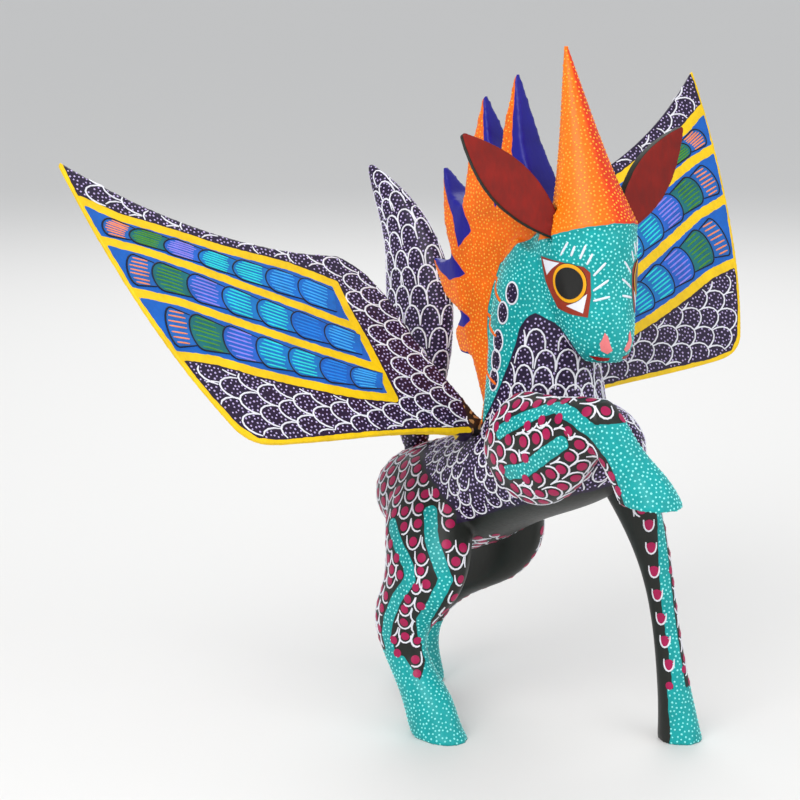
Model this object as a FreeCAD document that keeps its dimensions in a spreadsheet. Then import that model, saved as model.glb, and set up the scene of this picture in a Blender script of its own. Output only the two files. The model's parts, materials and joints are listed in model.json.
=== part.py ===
import FreeCAD, Part
import math
import os

# Alebrije figure: a winged, horned horse carved from soft wood. Millimetres, +X is the
# horse's forward, +Y its left, +Z up. The pieces are laid out from the right hind foot and
# then moved together, so that the middle of their common box stands on the origin.

Vector = FreeCAD.Vector
UP = Vector(0, 0, 1)
LEFT = Vector(0, 1, 0)
FORWARD = Vector(1, 0, 0)

doc = FreeCAD.newDocument("alebrije")
sheet = doc.addObject("Spreadsheet::Sheet", "Dimensions")

DIMENSIONS = {
    "torso_length": 97,
    "torso_width": 37,
    "torso_depth": 31,
    "torso_pitch": 25,
    "torso_middle_height": 70,
    "neck_width": 30,
    "neck_depth": 37,
    "head_turn": 15,
    "head_width": 25,
    "horn_base_radius": 10.8,
    "horn_height": 47,
    "horn_lean": 15,
    "crest_thickness": 11,
    "sole_radius": 6.6,
    "wing_thickness": 3.6,
    "wing_span": 88,
    "wing_tilt": 47,
    "tenon_height": 5,
    "tenon_thickness": 2.6,
    "tenon_length": 9,
    "tenon_slope": 20,
    "ear_length": 35,
    "ear_width": 12,
    "ear_thickness": 2.8,
    "ear_peg_radius": 1.7,
    "ear_peg_length": 8,
    "tail_width": 26,
    "tail_thickness": 12,
    "tail_tenon_width": 5,
    "tail_tenon_length": 9,
    "fit_gap": 0.15,
    "shoulder_gap": 0.3,
    "dowel_radius": 2,
    "dowel_length": 14,
    "shoulder_seat_radius": 7,
}
for row, (alias, value) in enumerate(DIMENSIONS.items(), start=1):
    sheet.set(f"A{row}", alias)
    sheet.set(f"B{row}", str(value))
    sheet.setAlias(f"B{row}", alias)
doc.recompute()


def size(alias):
    return float(sheet.get(alias))


def bound(alias):
    return f"Dimensions.{alias}"


# ---------------------------------------------------------------- shaping helpers


def oval(centre, side, rise, half_side, half_rise):
    """Closed smooth outline through eight points of an ellipse."""
    points = []
    for step in range(8):
        angle = step * math.pi / 4
        across = side * (half_side * math.cos(angle))
        upward = rise * (half_rise * math.sin(angle))
        points.append(centre + across + upward)
    curve = Part.BSplineCurve()
    curve.interpolate(Points=points, PeriodicFlag=True)
    return Part.Wire([curve.toShape()])


def limb(stations, level=False, flat_end=False):
    """Round carved run: each station is x, y, z, half width across, half depth."""
    centres = [Vector(*station[:3]) for station in stations]
    outlines = []
    for number, station in enumerate(stations):
        before = centres[max(number - 1, 0)]
        after = centres[min(number + 1, len(centres) - 1)]
        run = (after - before).normalize()
        if level or (flat_end and number == len(stations) - 1):
            run = Vector(0, 0, -1)
        side = (LEFT - run * LEFT.dot(run)).normalize()
        rise = run.cross(side)
        outlines.append(oval(centres[number], side, rise, station[3], station[4]))
    return Part.makeLoft(outlines, True, False)


def slab(outline, half_thickness):
    """Board in the upright middle plane, from x, z corners."""
    corners = [Vector(x, -half_thickness, z) for x, z in outline]
    face = Part.Face(Part.makePolygon(corners + corners[:1]))
    return face.extrude(Vector(0, 2 * half_thickness, 0))


def frame(origin, x_axis, y_axis):
    """Placement that carries local X and Y to the given directions."""
    z_axis = x_axis.cross(y_axis)
    turn = FreeCAD.Rotation(x_axis, y_axis, z_axis, "XYZ")
    return FreeCAD.Placement(origin, turn)


def placed_box(placement, low, high):
    """Box between two local corners, put where the placement says."""
    extent = high - low
    box = Part.makeBox(extent.x, extent.y, extent.z, low)
    return box.transformed(placement.toMatrix())


# ---------------------------------------------------------------- the carved body

PITCH = math.radians(size("torso_pitch"))
ALONG = Vector(math.cos(PITCH), 0, math.sin(PITCH))
ABOVE = Vector(-math.sin(PITCH), 0, math.cos(PITCH))
TORSO_MIDDLE = Vector(-1, 0, size("torso_middle_height"))

TURN = math.radians(size("head_turn"))
FACE = Vector(math.cos(TURN), -math.sin(TURN), 0)
CHEEK = Vector(math.sin(TURN), math.cos(TURN), 0)
NAPE = Vector(4, 6.5, 0)


def torso():
    """Barrel: shares of the length, of the half depth above it, of half width, half depth."""
    shares = (
        (-0.455, 0.34, 0.34, 0.34),
        (-0.425, 0.28, 0.66, 0.66),
        (-0.36, 0.16, 0.90, 0.90),
        (-0.24, 0.00, 1.00, 1.03),
        (0.00, 0.00, 0.98, 1.00),
        (0.18, -0.04, 0.98, 0.96),
        (0.33, -0.10, 0.92, 0.88),
        (0.42, -0.16, 0.68, 0.66),
        (0.465, -0.22, 0.34, 0.34),
    )
    outlines = []
    half_width = size("torso_width") / 2
    half_depth = size("torso_depth") / 2
    for along, above, wide, deep in shares:
        centre = TORSO_MIDDLE + ALONG * (along * size("torso_length")) + ABOVE * (above * half_depth)
        outlines.append(oval(centre, LEFT, ABOVE, wide * half_width, deep * half_depth))
    return Part.makeLoft(outlines, True, False)


def neck():
    wide = size("neck_width") / 2
    deep = size("neck_depth") / 2
    return limb(
        (
            (13, 0, 72, 1.05 * wide, 1.0 * deep),
            (13, 0, 88, 1.0 * wide, 1.0 * deep),
            (12.5, 0, 100, 0.88 * wide, 0.92 * deep),
            (12.5, -0.5, 112, 0.80 * wide, 0.86 * deep),
            (14, -1, 124, 0.74 * wide, 0.76 * deep),
            (17, -1.5, 134, 0.62 * wide, 0.58 * deep),
        )
    )


def head():
    """Horse's face, hung from the poll: height, reach along the face, half depth, half width."""
    levels = (
        (147.5, 25.0, 8.0, 0.62),
        (142.5, 24.5, 12.0, 0.90),
        (134.0, 22.5, 15.2, 1.00),
        (126.0, 23.0, 15.0, 0.96),
        (118.5, 26.5, 13.0, 0.80),
        (112.0, 30.5, 9.5, 0.66),
        (107.0, 32.5, 5.5, 0.42),
    )
    half_width = size("head_width") / 2
    outlines = []
    for height, reach, half_deep, wide in levels:
        centre = NAPE + FACE * reach + UP * height
        outlines.append(oval(centre, CHEEK, FACE, wide * half_width, half_deep))
    return Part.makeLoft(outlines, True, False)


def horn():
    """Hollow-sided cone that leans back."""
    base = NAPE + FACE * 26.5 + UP * 139.0
    tip = base + UP * size("horn_height") - FACE * size("horn_lean")
    stations = []
    for share, girth in ((0, 1.10), (0.08, 0.98), (0.36, 0.63), (0.66, 0.34), (0.88, 0.15), (1, 0.05)):
        centre = base + (tip - base) * share
        radius = girth * size("horn_base_radius")
        stations.append((centre.x, centre.y, centre.z, radius, radius))
    return limb(stations)


# Mane valleys from the horn down the neck, and the flame tip that stands after each one.
MANE_VALLEYS = ((13, 148), (0, 154), (-14, 142), (-18, 128), (-14, 113), (-10, 102))
FLAME_TIPS = ((1, 180), (-11, 173), (-27, 153), (-31, 126), (-21, 105))


def flame(front_valley, back_valley, tip, half_thickness):
    """One pointed tongue of the mane, bowed a little, thinning towards its tip."""
    outlines = []
    for share, thickness in ((-0.25, 0.98), (0, 0.98), (0.45, 0.72), (1, 0.14)):
        bow = 1.6 * math.sin(math.pi * max(share, 0))
        corners = []
        for x, z in (front_valley, back_valley):
            narrow = 0.94 * share
            x += (tip[0] - x) * narrow - bow * 0.5
            z += (tip[1] - z) * narrow - bow
            corners.append((x, z))
        half = thickness * half_thickness
        ring = [
            Vector(corners[0][0], -half, corners[0][1]),
            Vector(corners[0][0], half, corners[0][1]),
            Vector(corners[1][0], half, corners[1][1]),
            Vector(corners[1][0], -half, corners[1][1]),
        ]
        outlines.append(Part.makePolygon(ring + ring[:1]))
    return Part.makeLoft(outlines, True, True)


def mane():
    half_thickness = size("crest_thickness") / 2
    ridge_foot = ((-4, 86), (8, 86), (12, 118), (20, 140))
    pieces = [slab(MANE_VALLEYS + ridge_foot, half_thickness)]
    for number, tip in enumerate(FLAME_TIPS):
        front = MANE_VALLEYS[number]
        back = MANE_VALLEYS[number + 1]
        pieces.append(flame(front, back, tip, half_thickness))
    return pieces


def standing_legs():
    """Two hind legs and the left foreleg, down to flat soles."""
    sole = size("sole_radius")
    right_hind = (
        (-21, -8, 72, 6, 9),
        (-17, -13, 62, 9, 13),
        (-13, -18, 51, 9, 14.5),
        (-11.5, -21, 42, 8, 13.5),
        (-15.5, -22.5, 33, 7, 11.5),
        (-17.5, -23.5, 25, 5.6, 8.2),
        (-12.5, -23.7, 16, 5.4, 7.6),
        (-6.5, -23.7, 8, 5.8, 8.6),
        (-2, -23.7, 0, sole, 1.35 * sole),
    )
    left_hind = (
        (-21, 9, 70, 6, 9),
        (-17, 13, 60, 8.5, 13),
        (-17, 15, 48, 8.0, 13.5),
        (-21, 14.5, 39, 7.2, 12.5),
        (-31, 12.5, 31, 6.2, 11.0),
        (-41, 10.5, 23, 5.2, 8.0),
        (-44.5, 8.5, 14, 4.8, 6.2),
        (-42.5, 6.5, 6, 5.2, 6.2),
        (-40, 5.5, 0, 0.85 * sole, 0.95 * sole),
    )
    left_fore = (
        (26, 10, 80, 7, 10),
        (28, 16, 70, 6.5, 8.5),
        (31, 19, 60, 5.6, 6.4),
        (34.5, 21, 48, 4.4, 4.6),
        (37, 22, 36, 3.7, 3.8),
        (39.5, 23, 20, 4.0, 4.2),
        (41.5, 23.5, 8, 5.0, 5.2),
        (42.7, 23.7, 0, 0.9 * sole, 0.95 * sole),
    )
    return [limb(stations, level=True) for stations in (right_hind, left_hind, left_fore)]


# ---------------------------------------------------------------- where the loose pieces plug in

TILT = math.radians(size("wing_tilt"))


FORWARD_SWEEP = 0.055
TILT_EASE = 0.93
TILT_LIFT = 1.07
FACE_SPREAD = 0.037


def wing_frame(root, side):
    """Local X runs out along the wing, local Y up its face, which leans back by the tilt."""
    out = Vector(FORWARD_SWEEP, side, 0).normalize()
    face_up = Vector(-math.sin(TILT) * TILT_EASE, side * FACE_SPREAD, math.cos(TILT) * TILT_LIFT)
    face_up = (face_up - out * face_up.dot(out)).normalize()
    return frame(root, out, face_up)


RIGHT_WING = wing_frame(Vector(-1.5, -10, 84), -1)
LEFT_WING_SWING = FreeCAD.Rotation(Vector(0.11, 0.826, -0.553), 18.2)
LEFT_WING = wing_frame(Vector(-6.1, 10, 85.5), 1)
LEFT_WING.Rotation = LEFT_WING_SWING.multiply(LEFT_WING.Rotation)


def tenon_frame(wing):
    """The tenon runs back into the body, sloped down from the wing's own length."""
    slope = FreeCAD.Placement(Vector(0, 0, 0), FreeCAD.Rotation(Vector(0, 0, 1), size("tenon_slope")))
    return wing.multiply(slope)


def ear_frame(side):
    """Local X runs up the ear from its root, local Y across its width; the left one lies lower."""
    lean, spread = (-12.5, -21) if side < 0 else (-8, 24)
    root = NAPE + FACE * 24 + CHEEK * (side * 9.2) + UP * 139
    axis = FACE * lean + CHEEK * spread + UP * 25
    axis.normalize()
    facing = (FACE - axis * FACE.dot(axis)).normalize()
    return frame(root, axis, facing.cross(axis))


def tail_frame():
    """Local Z runs up out of the rump along the tail's tenon."""
    up_and_back = Vector(-0.2, 0.12, 0.97).normalize()
    ahead = (FORWARD - up_and_back * FORWARD.dot(up_and_back)).normalize()
    return frame(Vector(-38, 0, 71), ahead, up_and_back.cross(ahead))


def tail_box(half, low, high):
    return placed_box(tail_frame(), Vector(-half, -half, low), Vector(half, half, high))


def wing_mortise(wing):
    gap = size("fit_gap")
    half_high = size("tenon_height") / 2 + gap
    half_thick = size("tenon_thickness") / 2 + gap
    low = Vector(-size("tenon_length") - 0.5, -half_high, -half_thick)
    high = Vector(20, half_high, half_thick)
    return placed_box(tenon_frame(wing), low, high)


def ear_hole(side):
    placement = ear_frame(side)
    radius = size("ear_peg_radius") + size("fit_gap")
    depth = size("ear_peg_length") + 0.5
    hole = Part.makeCylinder(radius, depth + 12, Vector(-depth, 0, 0), FORWARD)
    return hole.transformed(placement.toMatrix())


def ear_slot(side):
    """Slot that the ear's flat root sits down in."""
    half_thick = size("ear_thickness") / 2 + size("fit_gap")
    return placed_box(ear_frame(side), Vector(-0.6, -4.6, -half_thick), Vector(14, 4.6, half_thick))


def tail_mortise():
    half = size("tail_tenon_width") / 2 + size("fit_gap")
    return tail_box(half, -size("tail_tenon_length") - 0.5, 15)


SHOULDER = Vector(33, -12, 85)
OUTWARD = Vector(0, -1, 0)


def shoulder_seat():
    """Shallow round seat in the right shoulder for the root of the raised foreleg."""
    gap = size("fit_gap")
    seat = Part.makeCylinder(size("shoulder_seat_radius") + gap, 14, SHOULDER, OUTWARD)
    hole = Part.makeCylinder(size("dowel_radius"), size("dowel_length") / 2, SHOULDER, LEFT)
    return seat, hole


def carved_body():
    solid = torso()
    for piece in [neck(), head(), horn()] + mane() + standing_legs():
        solid = solid.fuse(piece)
    for opening in (
        wing_mortise(RIGHT_WING),
        wing_mortise(LEFT_WING),
        ear_hole(-1),
        ear_hole(1),
        ear_slot(-1),
        ear_slot(1),
        tail_mortise(),
    ) + shoulder_seat():
        solid = solid.cut(opening)
    return solid


# ---------------------------------------------------------------- the raised right foreleg


def raised_foreleg():
    """Upper arm out from the shoulder to the knee, then down to the hoof."""
    arm = limb(
        (
            (20, -17, 83, 9, 8),
            (27, -21, 85, 9, 14),
            (36, -23.5, 87.5, 8, 14),
            (46, -25, 92, 6.8, 10.5),
            (54, -25.5, 97, 5.6, 6.5),
            (59, -25, 98.5, 4.5, 4.5),
        )
    )
    cannon = limb(
        (
            (53, -25, 100, 4.6, 4.4),
            (57, -24.5, 96, 5.4, 5.4),
            (61, -23, 90, 5.2, 5.2),
            (64.5, -21, 84, 5.8, 6.2),
            (69, -19.5, 78, 7.0, 7.6),
        ),
        flat_end=True,
    )
    root = Part.makeCylinder(size("shoulder_seat_radius"), 9, SHOULDER, OUTWARD)
    hole = Part.makeCylinder(size("dowel_radius"), size("dowel_length") / 2, SHOULDER, OUTWARD)
    leg = arm.fuse(cannon).cut(torso().fuse(neck()))
    return leg.fuse(root).cut(hole).removeSplitter()


# ---------------------------------------------------------------- wings, ears and tail


def spline_sketch(body, name, role, runs):
    """Sketch of straight and curved runs: each run is the list of points that it passes."""
    plane = next(feature for feature in body.Origin.OriginFeatures if feature.Role == role)
    sketch = body.newObject("Sketcher::SketchObject", name)
    sketch.AttachmentSupport = (plane, "")
    sketch.MapMode = "FlatFace"
    for run in runs:
        points = [Vector(x, y, 0) for x, y in run]
        if len(points) == 2:
            sketch.addGeometry(Part.LineSegment(*points))
        else:
            curve = Part.BSplineCurve()
            curve.interpolate(points)
            sketch.addGeometry(curve)
    return sketch


def pad(body, name, sketch, thickness_alias):
    feature = body.newObject("PartDesign::Pad", name)
    feature.Profile = sketch
    feature.Midplane = True
    feature.setExpression("Length", bound(thickness_alias))
    return feature


# The wing's outline out from its root, in shares of the span: over the top, and back below.
WING_TOP = ((0.00, 0.02), (0.03, 0.16), (0.066, 0.34), (0.072, 0.48), (0.105, 0.585), (0.18, 0.67))
WING_TOP_OUTER = ((0.18, 0.67), (0.47, 0.75), (0.76, 0.91), (0.995, 1.12))
WING_TRAILING = ((0.995, 1.12), (1.00, 0.90), (0.985, 0.60), (0.95, 0.36), (0.895, 0.155))
WING_BOTTOM = ((0.895, 0.155), (0.85, 0.105), (0.76, 0.08), (0.44, 0.045), (0.07, -0.03))
WING_ROOT = ((0.07, -0.03), (0.00, 0.02))


def wing(name, placement):
    """Flat board with a tenon at its root."""
    piece = doc.addObject("PartDesign::Body", name)
    piece.Label = name
    span = size("wing_span")
    runs = []
    for run in (WING_TOP, WING_TOP_OUTER, WING_TRAILING, WING_BOTTOM, WING_ROOT):
        runs.append([(x * span, y * span) for x, y in run])
    outline = spline_sketch(piece, f"{name}_outline", "XY_Plane", runs)
    pad(piece, f"{name}_board", outline, "wing_thickness")
    slope = math.radians(size("tenon_slope"))
    along = Vector(math.cos(slope), math.sin(slope), 0)
    across = Vector(-math.sin(slope), math.cos(slope), 0)
    half = size("tenon_height") / 2
    inner = -size("tenon_length")
    outer = size("tenon_length")
    tenon_corners = (
        (inner, -0.8 * half),
        (inner, 0.8 * half),
        (-1, half),
        (outer, half),
        (outer, -half),
        (-1, -half),
    )
    corners = []
    for reach, lift in tenon_corners:
        point = along * reach + across * lift
        corners.append((point.x, point.y))
    edges = list(zip(corners, corners[1:] + corners[:1]))
    tenon = spline_sketch(piece, f"{name}_tenon", "XY_Plane", edges)
    pad(piece, f"{name}_tenon_pad", tenon, "tenon_thickness")
    piece.Placement = placement
    return piece


def ear(name, side):
    """Flat pointed leaf on a round peg."""
    piece = doc.addObject("PartDesign::Body", name)
    piece.Label = name
    length = size("ear_length")
    half = size("ear_width") / 2
    near_edge = [
        (0.4, -1.9),
        (0.28 * length, -0.88 * half),
        (0.52 * length, -half),
        (0.80 * length, -0.62 * half),
        (length, -0.4),
    ]
    far_edge = [(x, -y) for x, y in reversed(near_edge)]
    runs = (near_edge, (near_edge[-1], far_edge[0]), far_edge, (far_edge[-1], near_edge[0]))
    outline = spline_sketch(piece, f"{name}_outline", "XY_Plane", runs)
    pad(piece, f"{name}_leaf", outline, "ear_thickness")
    peg = spline_sketch(piece, f"{name}_peg", "XY_Plane", ())
    radius = size("ear_peg_radius")
    low = -size("ear_peg_length")
    high = 3
    corners = ((low, 0), (high, 0), (high, radius), (low, radius))
    for start, end in zip(corners, corners[1:] + corners[:1]):
        peg.addGeometry(Part.LineSegment(Vector(*start, 0), Vector(*end, 0)))
    turned = piece.newObject("PartDesign::Revolution", f"{name}_peg_turned")
    turned.Profile = peg
    turned.ReferenceAxis = (peg, ["H_Axis"])
    turned.Angle = 360
    piece.Placement = ear_frame(side)
    return piece


def tail():
    """Thick rounded leaf that stands up from the rump on a square tenon."""
    half_wide = size("tail_width") / 2
    half_thick = size("tail_thickness") / 2
    rings = (
        (-38.0, 0.0, 72.0, 0.30, 0.55),
        (-39.0, 0.5, 78.0, 0.46, 0.75),
        (-40.0, 2.0, 88.0, 0.76, 0.95),
        (-40.5, 3.5, 101.0, 0.94, 1.0),
        (-42.0, 4.8, 113.0, 0.96, 1.0),
        (-45.5, 5.2, 126.0, 0.80, 0.85),
        (-52.0, 5.0, 137.0, 0.52, 0.58),
        (-59.0, 4.6, 145.0, 0.24, 0.30),
        (-62.5, 4.5, 149.0, 0.06, 0.10),
    )
    stations = []
    for x, y, z, wide, thick in rings:
        stations.append((x, y, z, thick * half_thick, wide * half_wide))
    leaf = limb(stations)
    tenon = tail_box(size("tail_tenon_width") / 2, -size("tail_tenon_length"), 6)
    shoulder = torso().fuse(standing_legs()[0]).fuse(standing_legs()[1])
    shoulder.translate(tail_frame().Rotation.multVec(UP) * size("shoulder_gap"))
    return leaf.cut(shoulder).fuse(tenon)


def foreleg_dowel():
    dowel = doc.addObject("Part::Cylinder", "foreleg_dowel")
    dowel.Label = "foreleg_dowel"
    dowel.setExpression("Radius", bound("dowel_radius"))
    dowel.setExpression("Height", f"{bound('dowel_length')} - 0.4")
    middle = SHOULDER + LEFT * (size("dowel_length") / 2 - 0.2)
    dowel.Placement = FreeCAD.Placement(middle, FreeCAD.Rotation(UP, OUTWARD))
    return dowel


# ---------------------------------------------------------------- build


def stored_shape(name, shape):
    piece = doc.addObject("Part::Feature", name)
    piece.Label = name
    piece.Shape = shape
    return piece


def stand_on_origin(pieces):
    """Move everything so that the middle of the common box's bottom is the origin."""
    box = FreeCAD.BoundBox()
    for piece in pieces:
        box.add(piece.Shape.optimalBoundingBox(False))
    shift = Vector(-box.Center.x, -box.Center.y, -box.ZMin)
    for piece in pieces:
        move = FreeCAD.Placement(shift, FreeCAD.Rotation())
        piece.Placement = move.multiply(piece.Placement)


def main():
    pieces = [
        stored_shape("body", carved_body()),
        stored_shape("raised_foreleg", raised_foreleg()),
        foreleg_dowel(),
        wing("right_wing", RIGHT_WING),
        wing("left_wing", LEFT_WING),
        ear("right_ear", -1),
        ear("left_ear", 1),
        stored_shape("tail", tail()),
    ]
    doc.recompute()
    stand_on_origin(pieces)
    doc.recompute()
    for thing in doc.Objects:
        if "Invalid" in thing.State or "Error" in thing.State:
            raise RuntimeError(f"{thing.Name} did not build: {thing.State}")
    for piece in pieces:
        if not piece.Shape.isValid() or len(piece.Shape.Solids) != 1:
            raise RuntimeError(f"{piece.Label} is not one valid solid")
    os.makedirs("parts", exist_ok=True)
    for piece in pieces:
        piece.Shape.exportStep(f"parts/{piece.Label}.step")


main()
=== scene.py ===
import itertools
import json
import math
import random

import bmesh
import bpy
import numpy as np
from mathutils import Matrix, Vector
from mathutils.bvhtree import BVHTree
from mathutils.kdtree import KDTree


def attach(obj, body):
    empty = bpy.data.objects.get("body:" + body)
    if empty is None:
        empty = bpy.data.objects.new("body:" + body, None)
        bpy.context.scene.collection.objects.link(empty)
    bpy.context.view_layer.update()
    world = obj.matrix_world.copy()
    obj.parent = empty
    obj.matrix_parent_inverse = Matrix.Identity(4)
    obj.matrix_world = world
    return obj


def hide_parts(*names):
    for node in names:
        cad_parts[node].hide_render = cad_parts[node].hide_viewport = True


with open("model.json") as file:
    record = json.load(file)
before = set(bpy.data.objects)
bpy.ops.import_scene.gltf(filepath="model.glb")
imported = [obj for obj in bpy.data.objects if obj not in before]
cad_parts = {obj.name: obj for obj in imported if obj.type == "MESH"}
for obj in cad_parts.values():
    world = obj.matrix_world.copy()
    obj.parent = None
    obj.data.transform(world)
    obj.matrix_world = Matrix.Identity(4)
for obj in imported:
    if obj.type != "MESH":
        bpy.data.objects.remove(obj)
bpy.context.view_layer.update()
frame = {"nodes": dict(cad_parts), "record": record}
nodes = frame["nodes"]
record = frame["record"]
MM = 0.001

# ------------------------------------------------------------------ the carver's layout
# Places on the figure are given in millimetres from the ground under the right hind hoof:
# x forward, y to the figure's left, z up. Only the record's sole ties them to the frame.

SOLE = next(m["pos_m"] for m in record["mounts"] if m["name"] == "right_hind_sole")
START = Vector(SOLE) + Vector((2.0, 23.7, 0.0)) * MM
UP = Vector((0, 0, 1))

HEAD_TURN = math.radians(15)
FACE = Vector((math.cos(HEAD_TURN), -math.sin(HEAD_TURN), 0))
CHEEK = Vector((math.sin(HEAD_TURN), math.cos(HEAD_TURN), 0))
NAPE = Vector((4, 6.5, 0))
HORN_BASE = NAPE + FACE * 26.5 + UP * 139
HORN_AXIS = (UP * 47 - FACE * 15).normalized()
TORSO_MIDDLE = Vector((-1, 0, 70))
TORSO_ALONG = Vector((math.cos(math.radians(25)), 0, math.sin(math.radians(25))))
TORSO_ABOVE = Vector((-math.sin(math.radians(25)), 0, math.cos(math.radians(25))))


def to_frame(point):
    return START + Vector(point) * MM


def colour(red, green, blue):
    """Linear colour from the usual 0 to 255 values."""
    linear = []
    for part in (red, green, blue):
        share = part / 255
        linear.append(share / 12.92 if share < 0.04045 else ((share + 0.055) / 1.055) ** 2.4)
    return (*linear, 1.0)


TEAL = colour(0, 156, 156)
TEAL_DOT = colour(146, 244, 240)
NIGHT = colour(30, 14, 48)
NIGHT_DOT = colour(196, 178, 226)
CHALK = colour(232, 232, 240)
BARK = colour(34, 32, 27)
LEG_BLACK = colour(27, 30, 26)
CRIMSON = colour(168, 14, 78)
ORANGE = colour(242, 108, 0)
ORANGE_DOT = colour(255, 174, 56)
# Lit and shaded oranges of the horn: painted light and shade, picked by which way its surface faces.
SHADED_HORN_RED = colour(220, 52, 0)
LIT_HORN_GOLD = colour(250, 126, 6)
FLAME_BLUE = colour(20, 16, 138)
YELLOW = colour(238, 196, 0)
PANEL_BLUE = colour(0, 92, 184)
INK = colour(14, 18, 40)
RUST = colour(122, 14, 2)
EAR_BACK = colour(22, 30, 20)
EYE_RUST = colour(150, 48, 26)
EYE_GOLD = colour(240, 168, 16)
PINK = colour(238, 128, 130)
MOUTH_RED = colour(150, 12, 12)
BARE_WOOD = colour(176, 134, 84)

# ------------------------------------------------------------------ materials


def node_at(tree, kind, **values):
    node = tree.nodes.new(kind)
    for key, value in values.items():
        setattr(node, key, value)
    return node


def hand_paint_group():
    """Brushed acrylic: slow drift of value, fine bristle streaks, and their height."""
    tree = bpy.data.node_groups.new("hand_paint", "ShaderNodeTree")
    side = tree.interface
    for name, kind in (("Color", "Color"), ("Variation", "Float"), ("Roughness", "Float")):
        side.new_socket(name, in_out="INPUT", socket_type="NodeSocket" + kind)
    for name, kind in (("Color", "Color"), ("Roughness", "Float"), ("Height", "Float")):
        side.new_socket(name, in_out="OUTPUT", socket_type="NodeSocket" + kind)
    entry = node_at(tree, "NodeGroupInput")
    leave = node_at(tree, "NodeGroupOutput")
    where = node_at(tree, "ShaderNodeTexCoord")
    drift = node_at(tree, "ShaderNodeTexNoise")
    drift.inputs["Scale"].default_value = 160
    drift.inputs["Detail"].default_value = 3
    stretch = node_at(tree, "ShaderNodeMapping")
    stretch.inputs["Scale"].default_value = (900, 900, 260)
    bristle = node_at(tree, "ShaderNodeTexNoise")
    bristle.inputs["Scale"].default_value = 1
    bristle.inputs["Detail"].default_value = 4
    both = node_at(tree, "ShaderNodeMath", operation="MULTIPLY_ADD")
    both.inputs[1].default_value = 0.6
    centred = node_at(tree, "ShaderNodeMath", operation="SUBTRACT")
    centred.inputs[1].default_value = 0.8
    swing = node_at(tree, "ShaderNodeMath", operation="MULTIPLY")
    value = node_at(tree, "ShaderNodeMath", operation="ADD")
    value.inputs[1].default_value = 1.0
    shade = node_at(tree, "ShaderNodeHueSaturation")
    rough = node_at(tree, "ShaderNodeMath", operation="MULTIPLY_ADD")
    rough.inputs[1].default_value = 0.14
    link = tree.links.new
    link(where.outputs["Object"], drift.inputs["Vector"])
    link(where.outputs["Object"], stretch.inputs["Vector"])
    link(stretch.outputs["Vector"], bristle.inputs["Vector"])
    link(bristle.outputs["Fac"], both.inputs[0])
    link(drift.outputs["Fac"], both.inputs[2])
    link(both.outputs[0], centred.inputs[0])
    link(centred.outputs[0], swing.inputs[0])
    link(entry.outputs["Variation"], swing.inputs[1])
    link(swing.outputs[0], value.inputs[0])
    link(value.outputs[0], shade.inputs["Value"])
    link(entry.outputs["Color"], shade.inputs["Color"])
    link(bristle.outputs["Fac"], rough.inputs[0])
    link(entry.outputs["Roughness"], rough.inputs[2])
    link(shade.outputs["Color"], leave.inputs["Color"])
    link(rough.outputs[0], leave.inputs["Roughness"])
    link(bristle.outputs["Fac"], leave.inputs["Height"])
    return tree


HAND_PAINT = hand_paint_group()


def finish_paint(material, source, variation, roughness, bump, coat):
    """Ends a material: hand paint over a colour source, into one glossy or satin shader."""
    tree = material.node_tree
    shader = tree.nodes["Principled BSDF"]
    shader.inputs["Coat Weight"].default_value = coat
    shader.inputs["Coat Roughness"].default_value = 0.22
    shader.inputs["Specular IOR Level"].default_value = 0.3
    paint = node_at(tree, "ShaderNodeGroup")
    paint.node_tree = HAND_PAINT
    paint.inputs["Variation"].default_value = variation
    paint.inputs["Roughness"].default_value = roughness
    if isinstance(source, tuple):
        paint.inputs["Color"].default_value = source
    else:
        tree.links.new(source, paint.inputs["Color"])
    relief = node_at(tree, "ShaderNodeBump")
    relief.inputs["Strength"].default_value = bump
    relief.inputs["Distance"].default_value = 0.0002
    tree.links.new(paint.outputs["Height"], relief.inputs["Height"])
    tree.links.new(paint.outputs["Color"], shader.inputs["Base Color"])
    tree.links.new(paint.outputs["Roughness"], shader.inputs["Roughness"])
    tree.links.new(relief.outputs["Normal"], shader.inputs["Normal"])
    return material


def new_material(name):
    material = bpy.data.materials.new(name)
    material.use_nodes = True
    return material


def plain_paint(name, tint, variation=0.5, roughness=0.40, bump=0.25, coat=0.06):
    return finish_paint(new_material(name), tint, variation, roughness, bump, coat)


def zoned_paint(name, base, zones, variation=0.5, roughness=0.36):
    """Paint laid in zones: each zone is an attribute that is positive inside, and a colour.

    The attribute is a distance in millimetres, and a little noise frets the edge by hand."""
    material = new_material(name)
    tree = material.node_tree
    where = node_at(tree, "ShaderNodeTexCoord")
    fret = node_at(tree, "ShaderNodeTexNoise")
    fret.inputs["Scale"].default_value = 420
    tree.links.new(where.outputs["Object"], fret.inputs["Vector"])
    current = None
    for attribute, tint in zones:
        depth = node_at(tree, "ShaderNodeAttribute", attribute_name=attribute)
        moved = node_at(tree, "ShaderNodeMath", operation="MULTIPLY_ADD")
        moved.inputs[1].default_value = 0.7
        tree.links.new(fret.outputs["Fac"], moved.inputs[0])
        tree.links.new(depth.outputs["Fac"], moved.inputs[2])
        edge = node_at(tree, "ShaderNodeMapRange")
        edge.inputs["From Min"].default_value = 0.30
        edge.inputs["From Max"].default_value = 0.40
        tree.links.new(moved.outputs[0], edge.inputs["Value"])
        layer = node_at(tree, "ShaderNodeMix", data_type="RGBA")
        tree.links.new(edge.outputs["Result"], layer.inputs["Factor"])
        if current is None:
            layer.inputs[6].default_value = base
        else:
            tree.links.new(current, layer.inputs[6])
        if isinstance(tint, tuple):
            layer.inputs[7].default_value = tint
        else:
            tree.links.new(tint(tree), layer.inputs[7])
        current = layer.outputs[2]
    return finish_paint(material, current, variation, roughness, 0.3, 0.06)


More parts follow.
